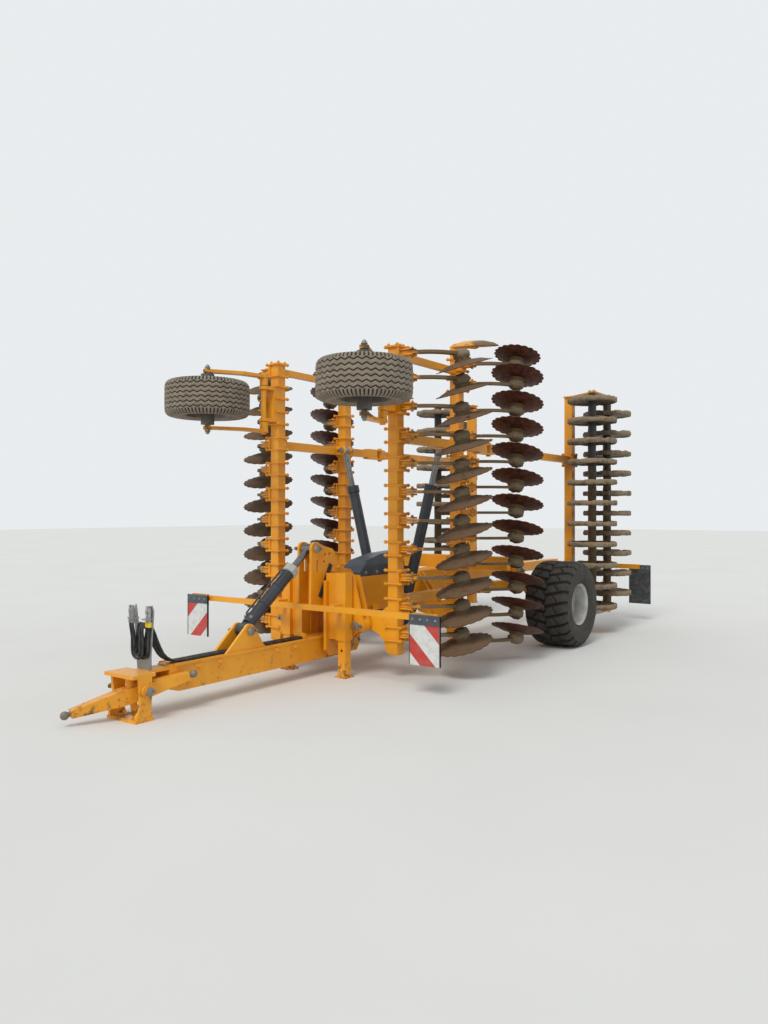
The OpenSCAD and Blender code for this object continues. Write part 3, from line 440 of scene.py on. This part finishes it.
def lathe(profile, steps):
    """A closed shape turned about Z from (radius, height) points in metres."""
    part = start("circle", vertices=len(profile), radius=1)
    for corner, (radius, height) in zip(part.data.vertices, profile):
        corner.co = (radius, 0, height)
    bpy.ops.object.mode_set(mode="EDIT")
    bpy.ops.mesh.select_all(action="SELECT")
    bpy.ops.mesh.spin(steps=steps, angle=2 * math.pi, center=(0, 0, 0), axis=(0, 0, 1))
    bpy.ops.mesh.select_all(action="SELECT")
    bpy.ops.mesh.remove_doubles(threshold=1e-5)
    bpy.ops.mesh.normals_make_consistent(inside=False)
    bpy.ops.object.mode_set(mode="OBJECT")
    return part


def finely(points, step, closed=True):
    """More points on a profile, about a step apart; an open one ends on its last point."""
    made = []
    for a, b in zip(points, points[1:] + points[:1] if closed else points[1:]):
        count = max(1, round(math.dist(a, b) / step))
        made += [(a[0] + (b[0] - a[0]) * k / count, a[1] + (b[1] - a[1]) * k / count) for k in range(count)]
    return made if closed else made + points[-1:]


def mirrored(lower):
    """A tyre's whole profile from its lower half, which ends at the middle of the tread."""
    return lower + [(radius, -height) for radius, height in reversed(lower[:-1])]


def ease(low, high, value):
    t = min(1.0, max(0.0, (value - low) / (high - low)))
    return t * t * (3 - 2 * t)


def mould(part, depth_at):
    """Presses a tread into a tyre; depth_at gives metres inwards at a turn, height and radius."""
    worn = part.data.attributes.new("tread_depth", "FLOAT", "POINT")
    depths = []
    for corner in part.data.vertices:
        radius = math.hypot(corner.co.x, corner.co.y)
        depth = depth_at(math.atan2(corner.co.y, corner.co.x), corner.co.z, radius)
        corner.co.x *= (radius - depth) / radius
        corner.co.y *= (radius - depth) / radius
        depths.append(depth)
    worn.data.foreach_set("value", depths)


def rubber(name, pale, dark, dust, dust_most, full_depth):
    """Vulcanised rubber; dust lies on the tread's faces, and the grooves are darkened with painted shade."""
    made, tree, place = new_material(name)
    cloud = add_node(tree, "TexNoise", {"Vector": place, "Scale": 1 / (90 * mm), "Detail": 6,
                                        "Roughness": 0.65}).outputs[0]
    cloud = add_node(tree, "MapRange", {"Value": cloud, "From Min": 0.38, "From Max": 0.62}).outputs[0]
    base = add_node(tree, "Mix", {0: cloud, 6: colour(pale), 7: colour(dark)}, data_type="RGBA").outputs[2]
    speck = add_node(tree, "TexNoise", {"Vector": place, "Scale": 1 / (9 * mm), "Detail": 5}).outputs[0]
    speck = add_node(tree, "MapRange", {"Value": speck, "From Min": 0.4, "From Max": 0.7,
                                        "To Max": dust_most}).outputs[0]
    tone = add_node(tree, "Mix", {0: speck, 6: base, 7: colour(dust)}, data_type="RGBA").outputs[2]
    # Painted shade in the grooves: the deeper the tread is pressed in, the darker the colour, down to
    # #2B2824 at full depth.
    depth = add_node(tree, "Attribute", attribute_name="tread_depth").outputs["Fac"]
    groove_shade = add_node(tree, "MapRange", {"Value": depth, "From Min": 0.25 * full_depth,
                                         "From Max": full_depth}).outputs[0]
    shade = add_node(tree, "Mix", {0: groove_shade, 6: tone, 7: colour("#2B2824")}, data_type="RGBA").outputs[2]
    bump = add_node(tree, "Bump", {"Height": speck, "Strength": 0.35, "Distance": 0.003}).outputs[0]
    set_surface(tree, {"Base Color": shade, "Normal": bump, "Roughness": 0.82, "Specular IOR Level": 0.35})
    return made


def ribs(turn, height, radius):
    """Zigzag grooves round the tread, with fine cuts between them, and lugs on its shoulders."""
    if radius < 0.3 or abs(height) > 0.166:
        return 0.0
    grooves, groove_step, waves, lugs, cuts = 6, 0.043, 36, 72, 144
    wave = abs((turn * waves / (2 * math.pi)) % 1 * 2 - 1) * 2 - 1
    depth = 0.0
    for k in range(grooves):
        off = abs(height - (k - (grooves - 1) / 2) * groove_step - 0.009 * wave)
        depth = max(depth, 0.011 * (1 - ease(0.0035, 0.0075, off)))
    across = abs((turn * lugs / (2 * math.pi)) % 1 - 0.5)
    side = ease(0.118, 0.13, abs(height))
    depth = max(depth, 0.014 * side * (1 - ease(0.12, 0.22, across)))
    fine = abs((turn * cuts / (2 * math.pi) + 12 * height) % 1 - 0.5)
    return max(depth, 0.0035 * (1 - ease(0.08, 0.2, fine)) * (1 - side))


dusty_rubber = rubber("dusty_support_tyre_rubber", "#8A8072", "#736A5D", "#A39784", 0.6, 0.011)
sidewall = [(0.211, -0.138), (0.236, -0.15), (0.262, -0.164), (0.3, -0.169), (0.335, -0.166)]
shoulder = finely([(0.36, -0.158), (0.374, -0.146), (0.385, -0.126), (0.3885, -0.1), (0.3895, 0.0)], 0.0045,
                  closed=False)
tyre = lathe(mirrored(sidewall + shoulder), 432)
mould(tyre, ribs)
support_hub = (920, -730, 2520)
tyre.data.transform(Matrix.Translation(row(*support_hub)))
for made in both_sides("support_tyre", [tyre], dusty_rubber, "support_wheel", 40):
    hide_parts("gauge_tyre_" + made.name.rsplit("_", 1)[1])


# Transport tyres. Wide flotation tyres, near black, with two rows of slanted blocks that meet at the
# middle; dust lies on the blocks, and painted shade darkens the grooves.


def blocks(turn, height, radius):
    """Slanted blocks in two rows, staggered by half a block, cut again across their middles."""
    reach = abs(height)
    if radius < 0.36 or reach > 0.242:
        return 0.0
    count, slant, stagger = 24, 2.1, 0.5 if height > 0 else 0.0
    along = turn * count / (2 * math.pi) + stagger + slant * reach
    gap = 1 - ease(0.1, 0.17, abs(along % 1 - 0.5))
    middle = 1 - ease(0.004, 0.012, abs(height - 0.012 * math.sin(turn * count)))
    cut = 1 - ease(0.004, 0.009, abs(reach - 0.115 - 0.02 * math.sin(along * 2 * math.pi)))
    return max(0.026 * gap, 0.02 * middle, 0.02 * cut)


road_rubber = rubber("transport_tyre_rubber", "#3C3A38", "#2C2B2A", "#6F685C", 0.32, 0.024)
sidewall = [(0.226, -0.206), (0.24, -0.215), (0.252, -0.226), (0.262, -0.227), (0.29, -0.24), (0.3, -0.244),
            (0.31, -0.243), (0.335, -0.249)]
shoulder = finely([(0.36, -0.247), (0.41, -0.243), (0.444, -0.222), (0.458, -0.19), (0.4635, -0.13),
                   (0.4645, 0.0)], 0.008, closed=False)
tyre = lathe(mirrored(sidewall + shoulder), 384)
mould(tyre, blocks)
road_hub = (1190, 2500, 465)
tyre.data.transform(Matrix.Translation(row(*road_hub)) @ Matrix.Rotation(math.pi / 2, 4, "Y"))
for made in both_sides("transport_tyre", [tyre], road_rubber, "road_wheel", 40):
    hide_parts("road_tyre_" + made.name.rsplit("_", 1)[1])


# Packer rollers. Steel rings with a U rim welded on a tube, each one caked with soil that broke off
# in lumps, so no ring is round any more; the tubes are black higher up and muddy lower down.

roller_soil = weathered_steel("soil_caked_roller_steel", "#4A4037", "#6A5B49", "#7D6D57", 0.22, 0.48, 0.0)
tube_paint = enamel("black_roller_tube_enamel", "#26282B", "#303236", "Z", 2.9, 1.2, 0.5)
rim = finely([(0.05, -0.012), (0.09, -0.009), (0.2, -0.012), (0.246, -0.018), (0.262, -0.03), (0.29, -0.031),
              (0.299, -0.018), (0.299, 0.018), (0.29, 0.031), (0.262, 0.03), (0.246, 0.018), (0.2, 0.012),
              (0.09, 0.009), (0.05, 0.012)], 0.022)
rings = []
for variant in range(3):
    ring = lathe(rim, 110)
    for corner in ring.data.vertices:
        radius = math.hypot(corner.co.x, corner.co.y)
        if radius < 0.06:
            continue
        turn = math.atan2(corner.co.y, corner.co.x)
        seed = Vector((variant * 11.7, 3.1, 0))
        coarse = fractal(corner.co * 9 + seed, 0.9, 2.2, 5)
        broken = max(0.0, fractal(Vector((math.cos(turn), math.sin(turn), 0)) * 3.4 + seed, 0.8, 2.3, 4))
        lost = 0.02 * broken + max(0.0, 0.012 * coarse) if radius > 0.2 else 0.0
        tooth = 0.007 * ease(0.25, 0.3, radius) * (0.5 + 0.5 * math.cos(turn * 20))
        scale = (radius - min(0.036, lost + tooth)) / radius
        corner.co.x, corner.co.y = corner.co.x * scale, corner.co.y * scale
        thick = corner.co.z * (1 + 0.5 * coarse) + 0.005 * coarse
        corner.co.z = max(-0.032, min(0.032, thick))
    rings.append(ring)
roller_x, front_roller_s, rear_roller_s = 1110, 3600, 4100
for name, s, first, count in (("front_roller", front_roller_s, 330, 11),
                              ("rear_roller", rear_roller_s, 455, 10)):
    parts = []
    for i in range(count):
        at = Matrix.Translation(row(roller_x, s, first + disc_step * i))
        parts.append(copy_at(rings[i % 3], at @ Matrix.Rotation(2.3 * i, 4, "Z")))
    tube = lathe(finely([(0.02, -1.337), (0.05, -1.337), (0.05, 1.337), (0.02, 1.337)], 0.05), 24)
    for corner in tube.data.vertices:
        if abs(corner.co.z) < 1.3:
            rough = 1 + 0.12 * fractal(corner.co * 14, 1.0, 2.0, 3)
            corner.co.x, corner.co.y = corner.co.x * rough, corner.co.y * rough
    tube.data.transform(Matrix.Translation(row(roller_x, s, 1580)))
    for roller in both_sides("packer_" + name, parts, roller_soil, name, 50):
        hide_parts(name + "_" + roller.name.rsplit("_", 1)[1])
    both_sides(name + "_tube", [tube], tube_paint, name, 60)
discard(*rings)

# Rims. Pressed steel wheels: pale grey paint with patches of rust on the transport wheels, and dark
# silver on the support wheels, which hang with their bearings upwards.


def sprayed_steel(name, paint, worn, rust_share, roughness, metallic=0.0):
    """Sprayed or bare steel with dust, and rust where water stands."""
    made, tree, place = new_material(name)
    cloud = add_node(tree, "TexNoise", {"Vector": place, "Scale": 1 / (120 * mm), "Detail": 5}).outputs[0]
    cloud = add_node(tree, "MapRange", {"Value": cloud, "From Min": 0.36, "From Max": 0.64}).outputs[0]
    tone = add_node(tree, "Mix", {0: cloud, 6: colour(paint), 7: colour(worn)}, data_type="RGBA").outputs[2]
    patch = add_node(tree, "TexNoise", {"Vector": place, "Scale": 1 / (35 * mm), "Detail": 8,
                                        "Roughness": 0.72}).outputs[0]
    rust = add_node(tree, "MapRange", {"Value": patch, "From Min": 0.72 - rust_share,
                                       "From Max": 0.78 - rust_share}).outputs[0]
    tone = add_node(tree, "Mix", {0: rust, 6: tone, 7: colour("#6B4A32")}, data_type="RGBA").outputs[2]
    fine = add_node(tree, "TexNoise", {"Vector": place, "Scale": 1 / (6 * mm), "Detail": 4}).outputs[0]
    gloss = add_node(tree, "MapRange", {"Value": fine, "To Min": roughness - 0.08,
                                        "To Max": roughness + 0.12}).outputs[0]
    bump = add_node(tree, "Bump", {"Height": fine, "Strength": 0.12, "Distance": 0.002}).outputs[0]
    set_surface(tree, {"Base Color": tone, "Roughness": gloss, "Normal": bump, "Metallic": metallic})
    return made


pale_rim = sprayed_steel("pale_grey_rim_paint", "#B4B4B0", "#9C9A94", 0.1, 0.45)
dark_rim = sprayed_steel("dark_silver_rim_paint", "#6E6C68", "#56534E", 0.13, 0.42, 0.4)
dress(pale_rim, "road_rim_left", "road_rim_right")
dress(dark_rim, "gauge_rim_left", "gauge_rim_right")
nuts = []
for k in range(8):
    angle = math.radians(45 * k + 10)
    nuts.append(nut_at(road_hub[0] + 62, road_hub[1] + 78 * math.cos(angle),
                       road_hub[2] + 78 * math.sin(angle), (1, 0, 0)))
both_sides("wheel_nuts", nuts, zinc, "road_wheel")

# Support fork bolts. A long axle bolt clamps each fork; its dull zinc nuts stand proud above and
# below.

bolts = []
big = fastener(21 * mm)
for way in (1, -1):
    at = row(support_hub[0], support_hub[1], support_hub[2] + way * 293)
    bolts.append(copy_at(big, pointing(at, (0, 0, way))))
discard(big)
both_sides("fork_axle_nuts", bolts, zinc, "support_arm")

# Support wheel stops. A short cylinder beside the beam sets how far the wheel may lift; it lies
# between two flat plates that are bolted to the beam, and its turned end caps are bare steel.

plates = [bar((764, -150, 2560), (852, 80, 2572)), bar((764, -150, 2468), (852, 80, 2480))]
for s in (-128, 58):
    for z, way in ((2572, 1), (2468, -1)):
        plates.append(nut_at(812, s, z, (0, 0, way)))
barrel = lathe([(0.012, -0.08), (0.034, -0.08), (0.036, -0.076), (0.036, 0.066), (0.033, 0.07),
                (0.012, 0.07)], 32)
barrel.data.transform(Matrix.Translation(row(810, -35, 2520)) @ Matrix.Rotation(-math.pi / 2, 4, "X"))
both_sides("wheel_stop_plates", plates + [barrel], wing_paint, "wing")
pin_steel = sprayed_steel("turned_pin_steel", "#A8A7A2", "#8B8882", 0.12, 0.34, 0.85)
ends = []
for s, way in ((-115, -1), (35, 1)):
    end = lathe([(0.001, 0.0), (0.039, 0.0), (0.039, 0.016), (0.034, 0.022), (0.018, 0.022), (0.016, 0.03),
                 (0.001, 0.03)], 32)
    end.data.transform(pointing(row(810, s, 2520), (0, way, 0)))
    ends.append(end)
both_sides("wheel_stop_ends", ends, pin_steel, "wing", 40)


# Roller beam clamps. Thick plates with four bolts hold each roller beam to its arms, and the
# beam's end plates are bolted over its ends.

bolts = []
for h in cross_heights:
    for x in (652, 776):
        for z in (-70, 70):
            bolts += [nut_at(x, 3776, h + z, (0, -1, 0)), nut_at(x, 3916, h + z, (0, 1, 0))]
            bolts.append(long_bolt(x, 3846, h + z, 140, (math.pi / 2, 0, 0)))
for z, way in ((2939, 1), (221, -1)):
    for s in (front_roller_s, rear_roller_s):
        for k in range(4):
            angle = math.radians(45 + 90 * k)
            bolts.append(nut_at(roller_x + 36 * math.cos(angle), s + 36 * math.sin(angle), z, (0, 0, way)))
both_sides("roller_bolts", bolts, roller_paint, "roller_frame")

# Hinge and cylinder pins. Turned steel pins with flat heads, held by a keeper plate and one bolt;
# bare steel that has gone dull.


def pin_head(at, way, radius, keeper=1.5):
    """Flat head of a pin with its centre dimple and a keeper plate with a bolt beside it."""
    head = start("cylinder", vertices=32, radius=radius, depth=14 * mm, location=(0, 0, 7 * mm))
    break_edges(head, 2 * mm, 2)
    bpy.ops.object.mode_set(mode="EDIT")
    bpy.ops.mesh.select_all(action="DESELECT")
    bpy.ops.object.mode_set(mode="OBJECT")
    for face in head.data.polygons:
        face.select = face.normal.z > 0.99 and face.center.z > 0.01
    bpy.ops.object.mode_set(mode="EDIT")
    bpy.ops.mesh.inset(thickness=0.55 * radius)
    bpy.ops.transform.translate(value=(0, 0, -3 * mm))
    bpy.ops.object.mode_set(mode="OBJECT")
    plate = start("cube", size=1, location=(keeper * radius / 2, 0, 3 * mm))
    plate.scale = (keeper * radius + 20 * mm, 26 * mm, 6 * mm)
    break_edges(settle(plate), 2 * mm)
    key = copy_at(nut, Matrix.Translation((keeper * radius, 0, 5 * mm)))
    part = weld([head, plate, key])
    part.data.transform(pointing(at, way))
    return part


heads = [pin_head(row(430, -214, 460), (0, -1, 0), 42 * mm),
         pin_head(row(430, 1250, 460), (0, 1, 0), 38 * mm)]
chassis_pins = [copy_at(part, Matrix.Identity(4)) for part in heads]
chassis_pins += [copy_at(part, Matrix.Scale(-1, 4, (1, 0, 0))) for part in heads]
for part in chassis_pins[2:]:
    part.data.flip_normals()
discard(*heads)
for side in (1, -1):
    chassis_pins.append(pin_head(row(side * 160, 100, 270), (side, 0, 0), 46 * mm))
    chassis_pins.append(pin_head(row(side * 97, -356, 1140), (side, 0, 0), 36 * mm))
    chassis_pins.append(pin_head(row(side * 200, 920 - 68, 600), (0, -1, 0), 32 * mm))
    chassis_pins.append(pin_head(row(side * 200, 920 + 68, 600), (0, 1, 0), 32 * mm))
    chassis_pins.append(pin_head(row(side * 947, 1970, 840), (side, 0, 0), 50 * mm))
finish_piece("chassis_pins", chassis_pins, pin_steel, "chassis")
drawbar_pins = []
for side in (1, -1):
    drawbar_pins.append(pin_head(row(side * 90, -1165, 500), (side, 0, 0), 36 * mm))
    drawbar_pins.append(pin_head(row(side * 196, -2250, 215), (side, 0, 0), 30 * mm, 1.2))
finish_piece("drawbar_pins", drawbar_pins, pin_steel, "drawbar")
wing_pins = [pin_head(row(600, 920 + way * 58, 2130), (0, way, 0), 32 * mm) for way in (-1, 1)]
both_sides("wing_pins", wing_pins, pin_steel, "wing")

# Headstock trim. A black steel strip with a row of holes is bolted slanting on the headstock's
# left plate, and bolts with washers stand on the headstock's cheeks and the frame's cheeks.

slate_plate = sprayed_steel("black_powder_coated_steel", "#2A2D31", "#35383B", 0.02, 0.5)
strip = bar((85, -26, -165), (91, 26, 165), 2)
holes = []
for k in range(6):
    hole = lathe([(8 * mm, 0), (12 * mm, 0), (12 * mm, 3 * mm), (8 * mm, 3 * mm)], 16)
    hole.data.transform(pointing(row(91, 0, -130 + 52 * k), (1, 0, 0)))
    holes.append(hole)
strip = weld([strip] + holes)
strip.data.transform(Matrix.Translation((0, origin_s * mm, 0)))
strip.data.transform(Matrix.Translation(row(0, -223, 848)) @ Matrix.Rotation(math.radians(-28), 4, "X"))
finish_piece("headstock_strip", [strip], slate_plate, "chassis")
bolts = []
for side in (1, -1):
    for s, h in ((-180, 800), (-180, 700), (-120, 930), (-40, 960), (40, 900)):
        bolts.append(nut_at(side * 85, s, h, (side, 0, 0)))
    for s, h in ((-190, 640), (-190, 790), (140, 640), (140, 790), (1780, 640), (1780, 790)):
        bolts.append(nut_at(side * (160 if s < 1000 else 130), s, h, (side, 0, 0)))
finish_piece("frame_bolts", bolts, chassis_paint, "chassis")

# Crossbar studs. The ball ends are forged and greased, not painted, so they are brown grey; the bar
# between them is painted as the drawbar is.


def recoloured(material, name, code, axis, middle, reach, both_ends=False):
    """A copy of a material that changes colour further than reach from a middle, along an axis."""
    made = material.copy()
    made.name = name
    tree = made.node_tree
    under = tree.nodes["Principled BSDF"].inputs["Base Color"].links[0].from_socket
    place = add_node(tree, "TexCoord").outputs["Object"]
    along = add_node(tree, "VectorMath", {0: place, 1: axis}, operation="DOT_PRODUCT").outputs["Value"]
    along = add_node(tree, "Math", {0: along, 1: middle.dot(axis)}, operation="SUBTRACT").outputs[0]
    if both_ends:
        along = add_node(tree, "Math", {0: along}, operation="ABSOLUTE").outputs[0]
    past = add_node(tree, "Math", {0: along, 1: reach}, operation="GREATER_THAN").outputs[0]
    tone = add_node(tree, "Mix", {0: past, 6: under, 7: colour(code)}, data_type="RGBA").outputs[2]
    set_surface(tree, {"Base Color": tone})
    return made


bar_way = Vector((0.374607, 0.903420, 0.208571))
bar_middle = row(0, -2250, 176)
dress(recoloured(chassis_paint, "enamel_with_bare_ball_studs", "#7A7064", bar_way, bar_middle, 0.4235, True),
      "crossbar")

# Hood. Folded sheet steel cover over the valves, dark slate powder coat whose upper facets catch
# the sky, held by screws along its lower edges.

hood_coat = sprayed_steel("dark_slate_powder_coat", "#3B444C", "#47515A", 0.0, 0.4)
dress(hood_coat, "hood")
screws = [nut_at(side * 118, s, 885, (side, 0, 0)) for side in (1, -1) for s in (340, 520, 700, 880)]
finish_piece("hood_screws", screws, zinc, "chassis")

# Hydraulic cylinders. Barrels in black-slate paint; the levelling cylinder's gland is a pale grey
# block, its oil pipe runs along the barrel in two clips, and the rods are hard chrome gone dark.

barrel_coat = sprayed_steel("black_slate_barrel_paint", "#2B3036", "#363C42", 0.02, 0.36)
dress(barrel_coat, "fold_barrel_left", "fold_barrel_right")
draft_way = Vector((0, 809, 640)).normalized()
draft_foot = row(0, -1165, 500)
dress(recoloured(barrel_coat, "barrel_paint_with_pale_gland", "#A9ABA8", draft_way, draft_foot, 0.688),
      "draft_barrel")
chrome = sprayed_steel("dull_chrome_rod", "#8F9193", "#7C7E80", 0.0, 0.24, 0.95)
dress(chrome, "draft_rod", "fold_rod_left", "fold_rod_right")
lift = Vector((0, -draft_way.z, draft_way.y))


def pipe(points, radius):
    """A bent steel pipe or hose through points in metres."""
    curve = bpy.data.curves.new("pipe", "CURVE")
    curve.dimensions = "3D"
    curve.bevel_depth, curve.bevel_resolution, curve.use_fill_caps = radius, 2, True
    line = curve.splines.new("POLY")
    line.points.add(len(points) - 1)
    for spot, point in zip(line.points, points):
        spot.co = (*point, 1)
    made = bpy.data.objects.new("pipe", curve)
    scene.collection.objects.link(made)
    deselect()
    made.select_set(True)
    bpy.context.view_layer.objects.active = made
    bpy.ops.object.convert(target="MESH")
    return bpy.context.active_object


off = lift * 0.064 + Vector((-0.03, 0, 0))
foot = draft_foot + draft_way * 0.125
line = [foot + off * 0.7, foot + off * 0.93 + draft_way * 0.008, foot + off + draft_way * 0.022]
line += [foot + off + draft_way * t for t in (0.2, 0.4, 0.52)]
line += [foot + off * 0.96 + draft_way * 0.545, foot + off * 0.7 + draft_way * 0.556]
clips = [pipe(line, 0.008)]
for t in (0.2, 0.42):
    band = lathe([(0.052, -0.012), (0.056, -0.012), (0.056, 0.012), (0.052, 0.012)], 40)
    band.data.transform(pointing(draft_foot + draft_way * (t + 0.1), draft_way))
    clips.append(band)
finish_piece("levelling_pipe", clips, barrel_coat, "levelling_barrel", 50)
fittings = []
for along, across, high in ((0.14, -0.03, 0.048), (0.655, -0.03, 0.048),
                            (0.11, 0.03, 0.04), (0.11, -0.03, 0.04)):
    at = draft_foot + draft_way * along + lift * high + Vector((across, 0, 0))
    fittings.append(copy_at(nut, pointing(at, lift)))
finish_piece("levelling_fittings", fittings, zinc, "levelling_barrel")

# Drawbar ledges. Flat bars welded along the box's upper edges, with the bolts that hold the
# hose clips; the hoses run between them to the bulkhead.

ledges = [bar((side * 96, -1940, 330), (side * 90, -140, 352), 2) for side in (1, -1)]
for s in (-1720, -1500, -860, -640):
    for side in (1, -1):
        ledges.append(nut_at(side * 96, s, 300, (side, 0, 0)))
        ledges.append(bar((side * 93.5 - 3.5, s - 30, 280), (side * 93.5 + 3.5, s + 30, 322), 2))
finish_piece("drawbar_ledges", ledges, chassis_paint, "drawbar")

# Hose rack and hoses. A galvanised sheet fork carries four rubber hoses in a spiral guard; their
# steel couplings stand in its prongs, and a yellow ring marks the pair that lies in front.

galvanised = sprayed_steel("hot_dip_galvanised_sheet", "#A9ACAD", "#8F9395", 0.03, 0.45, 0.6)
dress(galvanised, "hose_rack")
hose_rubber, tree, place = new_material("hose_rubber_in_spiral_guard")
# The guard is a 12 mm wide strip wound round the hoses, drawn a little coarser so that it shows; its seams
# are darkened with painted shade, in bands that follow the turns
guard_relief_and_seam_shade = add_node(tree, "TexWave", {"Vector": place, "Scale": 1 / (20 * 16 * mm) * math.pi / 1.57,
                                   "Distortion": 0.4}, bands_direction="DIAGONAL").outputs["Fac"]
grime = add_node(tree, "TexNoise", {"Vector": place, "Scale": 1 / (60 * mm), "Detail": 5}).outputs[0]
base = add_node(tree, "Mix", {0: guard_relief_and_seam_shade, 6: colour("#141416"), 7: colour("#2C2C2E")},
                data_type="RGBA").outputs[2]
dusted = add_node(tree, "MapRange", {"Value": grime, "From Min": 0.5, "From Max": 0.75,
                                     "To Max": 0.3}).outputs[0]
tone = add_node(tree, "Mix", {0: dusted, 6: base, 7: colour("#6B6357")}, data_type="RGBA").outputs[2]
bump = add_node(tree, "Bump", {"Height": guard_relief_and_seam_shade, "Strength": 0.6, "Distance": 0.003}).outputs[0]
set_surface(tree, {"Base Color": tone, "Normal": bump, "Roughness": 0.5})
dress(hose_rubber, "hoses")
yellow = sprayed_steel("yellow_moulded_polymer", "#E4C414", "#CFAE12", 0.0, 0.4)
band = lathe([(0.0115, -0.02), (0.016, -0.017), (0.016, 0.017), (0.0115, 0.02)], 24)
rings = [copy_at(band, Matrix.Translation(row(x, -2166, 665))) for x in (92, 66)]
discard(band)
finish_piece("hose_marks", rings, yellow, "drawbar", 50)
caps = []
for side, s in ((1, -2166), (-1, -2192)):
    for x in (92, 66):
        cap = lathe(finely([(0.001, 0.0), (0.0145, 0.0), (0.0145, 0.024), (0.0115, 0.03), (0.0115, 0.05),
                            (0.0095, 0.054), (0.001, 0.054)], 0.02), 20)
        cap.data.transform(Matrix.Translation(row(side * x, s, 745)))
        ferrule = lathe([(0.0105, -0.02), (0.0145, -0.02), (0.0145, 0.02), (0.0105, 0.02)], 6)
        ferrule.data.transform(Matrix.Translation(row(side * x, s, 690)))
        caps += [cap, ferrule]
finish_piece("hose_couplings", caps, pin_steel, "drawbar", 40)


# Warning boards. Aluminium sheets with red and white retroreflective film on the face that traffic
# sees, its stripes falling outwards; their backs are dark slate, and a carrier is bolted on top.

film, tree, place = new_material("retroreflective_striped_film")
axes = add_node(tree, "SeparateXYZ", {0: place})
across = add_node(tree, "Math", {0: axes.outputs["X"]}, operation="ABSOLUTE").outputs[0]
slant = add_node(tree, "Math", {0: across, 1: axes.outputs["Z"]}, operation="ADD").outputs[0]
# One red and one white stripe take 360 mm of the board's width, the red 150 of it
stripe = add_node(tree, "MapRange", {"Value": slant, "From Min": 1.543, "From Max": 1.903},
                  clamp=False).outputs[0]
stripe = add_node(tree, "Math", {0: stripe}, operation="FRACT").outputs[0]
red = add_node(tree, "Math", {0: stripe, 1: 0.41}, operation="LESS_THAN").outputs[0]
grime = add_node(tree, "TexNoise", {"Vector": place, "Scale": 1 / (50 * mm), "Detail": 6}).outputs[0]
grime = add_node(tree, "MapRange", {"Value": grime, "From Min": 0.45, "From Max": 0.75,
                                    "To Max": 0.35}).outputs[0]
face = add_node(tree, "Mix", {0: red, 6: colour("#D6D8D6"), 7: colour("#C03A36")},
                data_type="RGBA").outputs[2]
facing = add_node(tree, "SeparateXYZ", {0: add_node(tree, "NewGeometry").outputs["Normal"]}).outputs["Y"]
outward = add_node(tree, "Math", {0: axes.outputs["Y"], 1: facing}, operation="MULTIPLY").outputs[0]
shown = add_node(tree, "Math", {0: outward, 1: 1.0}, operation="GREATER_THAN").outputs[0]
face = add_node(tree, "Mix", {0: shown, 6: colour("#3A4046"), 7: face}, data_type="RGBA").outputs[2]
face = add_node(tree, "Mix", {0: grime, 6: face, 7: colour("#8C8272")}, data_type="RGBA").outputs[2]
gloss = add_node(tree, "MapRange", {"Value": grime, "To Min": 0.32, "To Max": 0.7}).outputs[0]
set_surface(tree, {"Base Color": face, "Roughness": gloss})
dress(film, "warning_boards")
carrier_coat = sprayed_steel("slate_blue_carrier_paint", "#4A5660", "#3E4850", 0.02, 0.45)
carriers, bolts = [], []
small = fastener(9 * mm)
for side in (1, -1):
    a, b = sorted((side * 1190, side * 1480))
    carriers += [bar((a, -496, 572), (b, -490, 654), 2), bar((a, -496, 250), (a + 5, -474, 654), 2),
                 bar((b - 5, -496, 250), (b, -474, 654), 2)]
    a, b = sorted((side * 1080, side * 1370))
    carriers += [bar((a, 5004, 672), (b, 5010, 754), 2)]
    for k in range(4):
        bolts.append(copy_at(small, pointing(row(side * (1226 + 72 * k), -496, 616), (0, -1, 0))))
        bolts.append(copy_at(small, pointing(row(side * (1116 + 72 * k), 5004, 712), (0, -1, 0))))
discard(small)
finish_piece("board_carriers", carriers, carrier_coat, "chassis")
finish_piece("board_bolts", bolts, zinc, "chassis")

discard(nut)
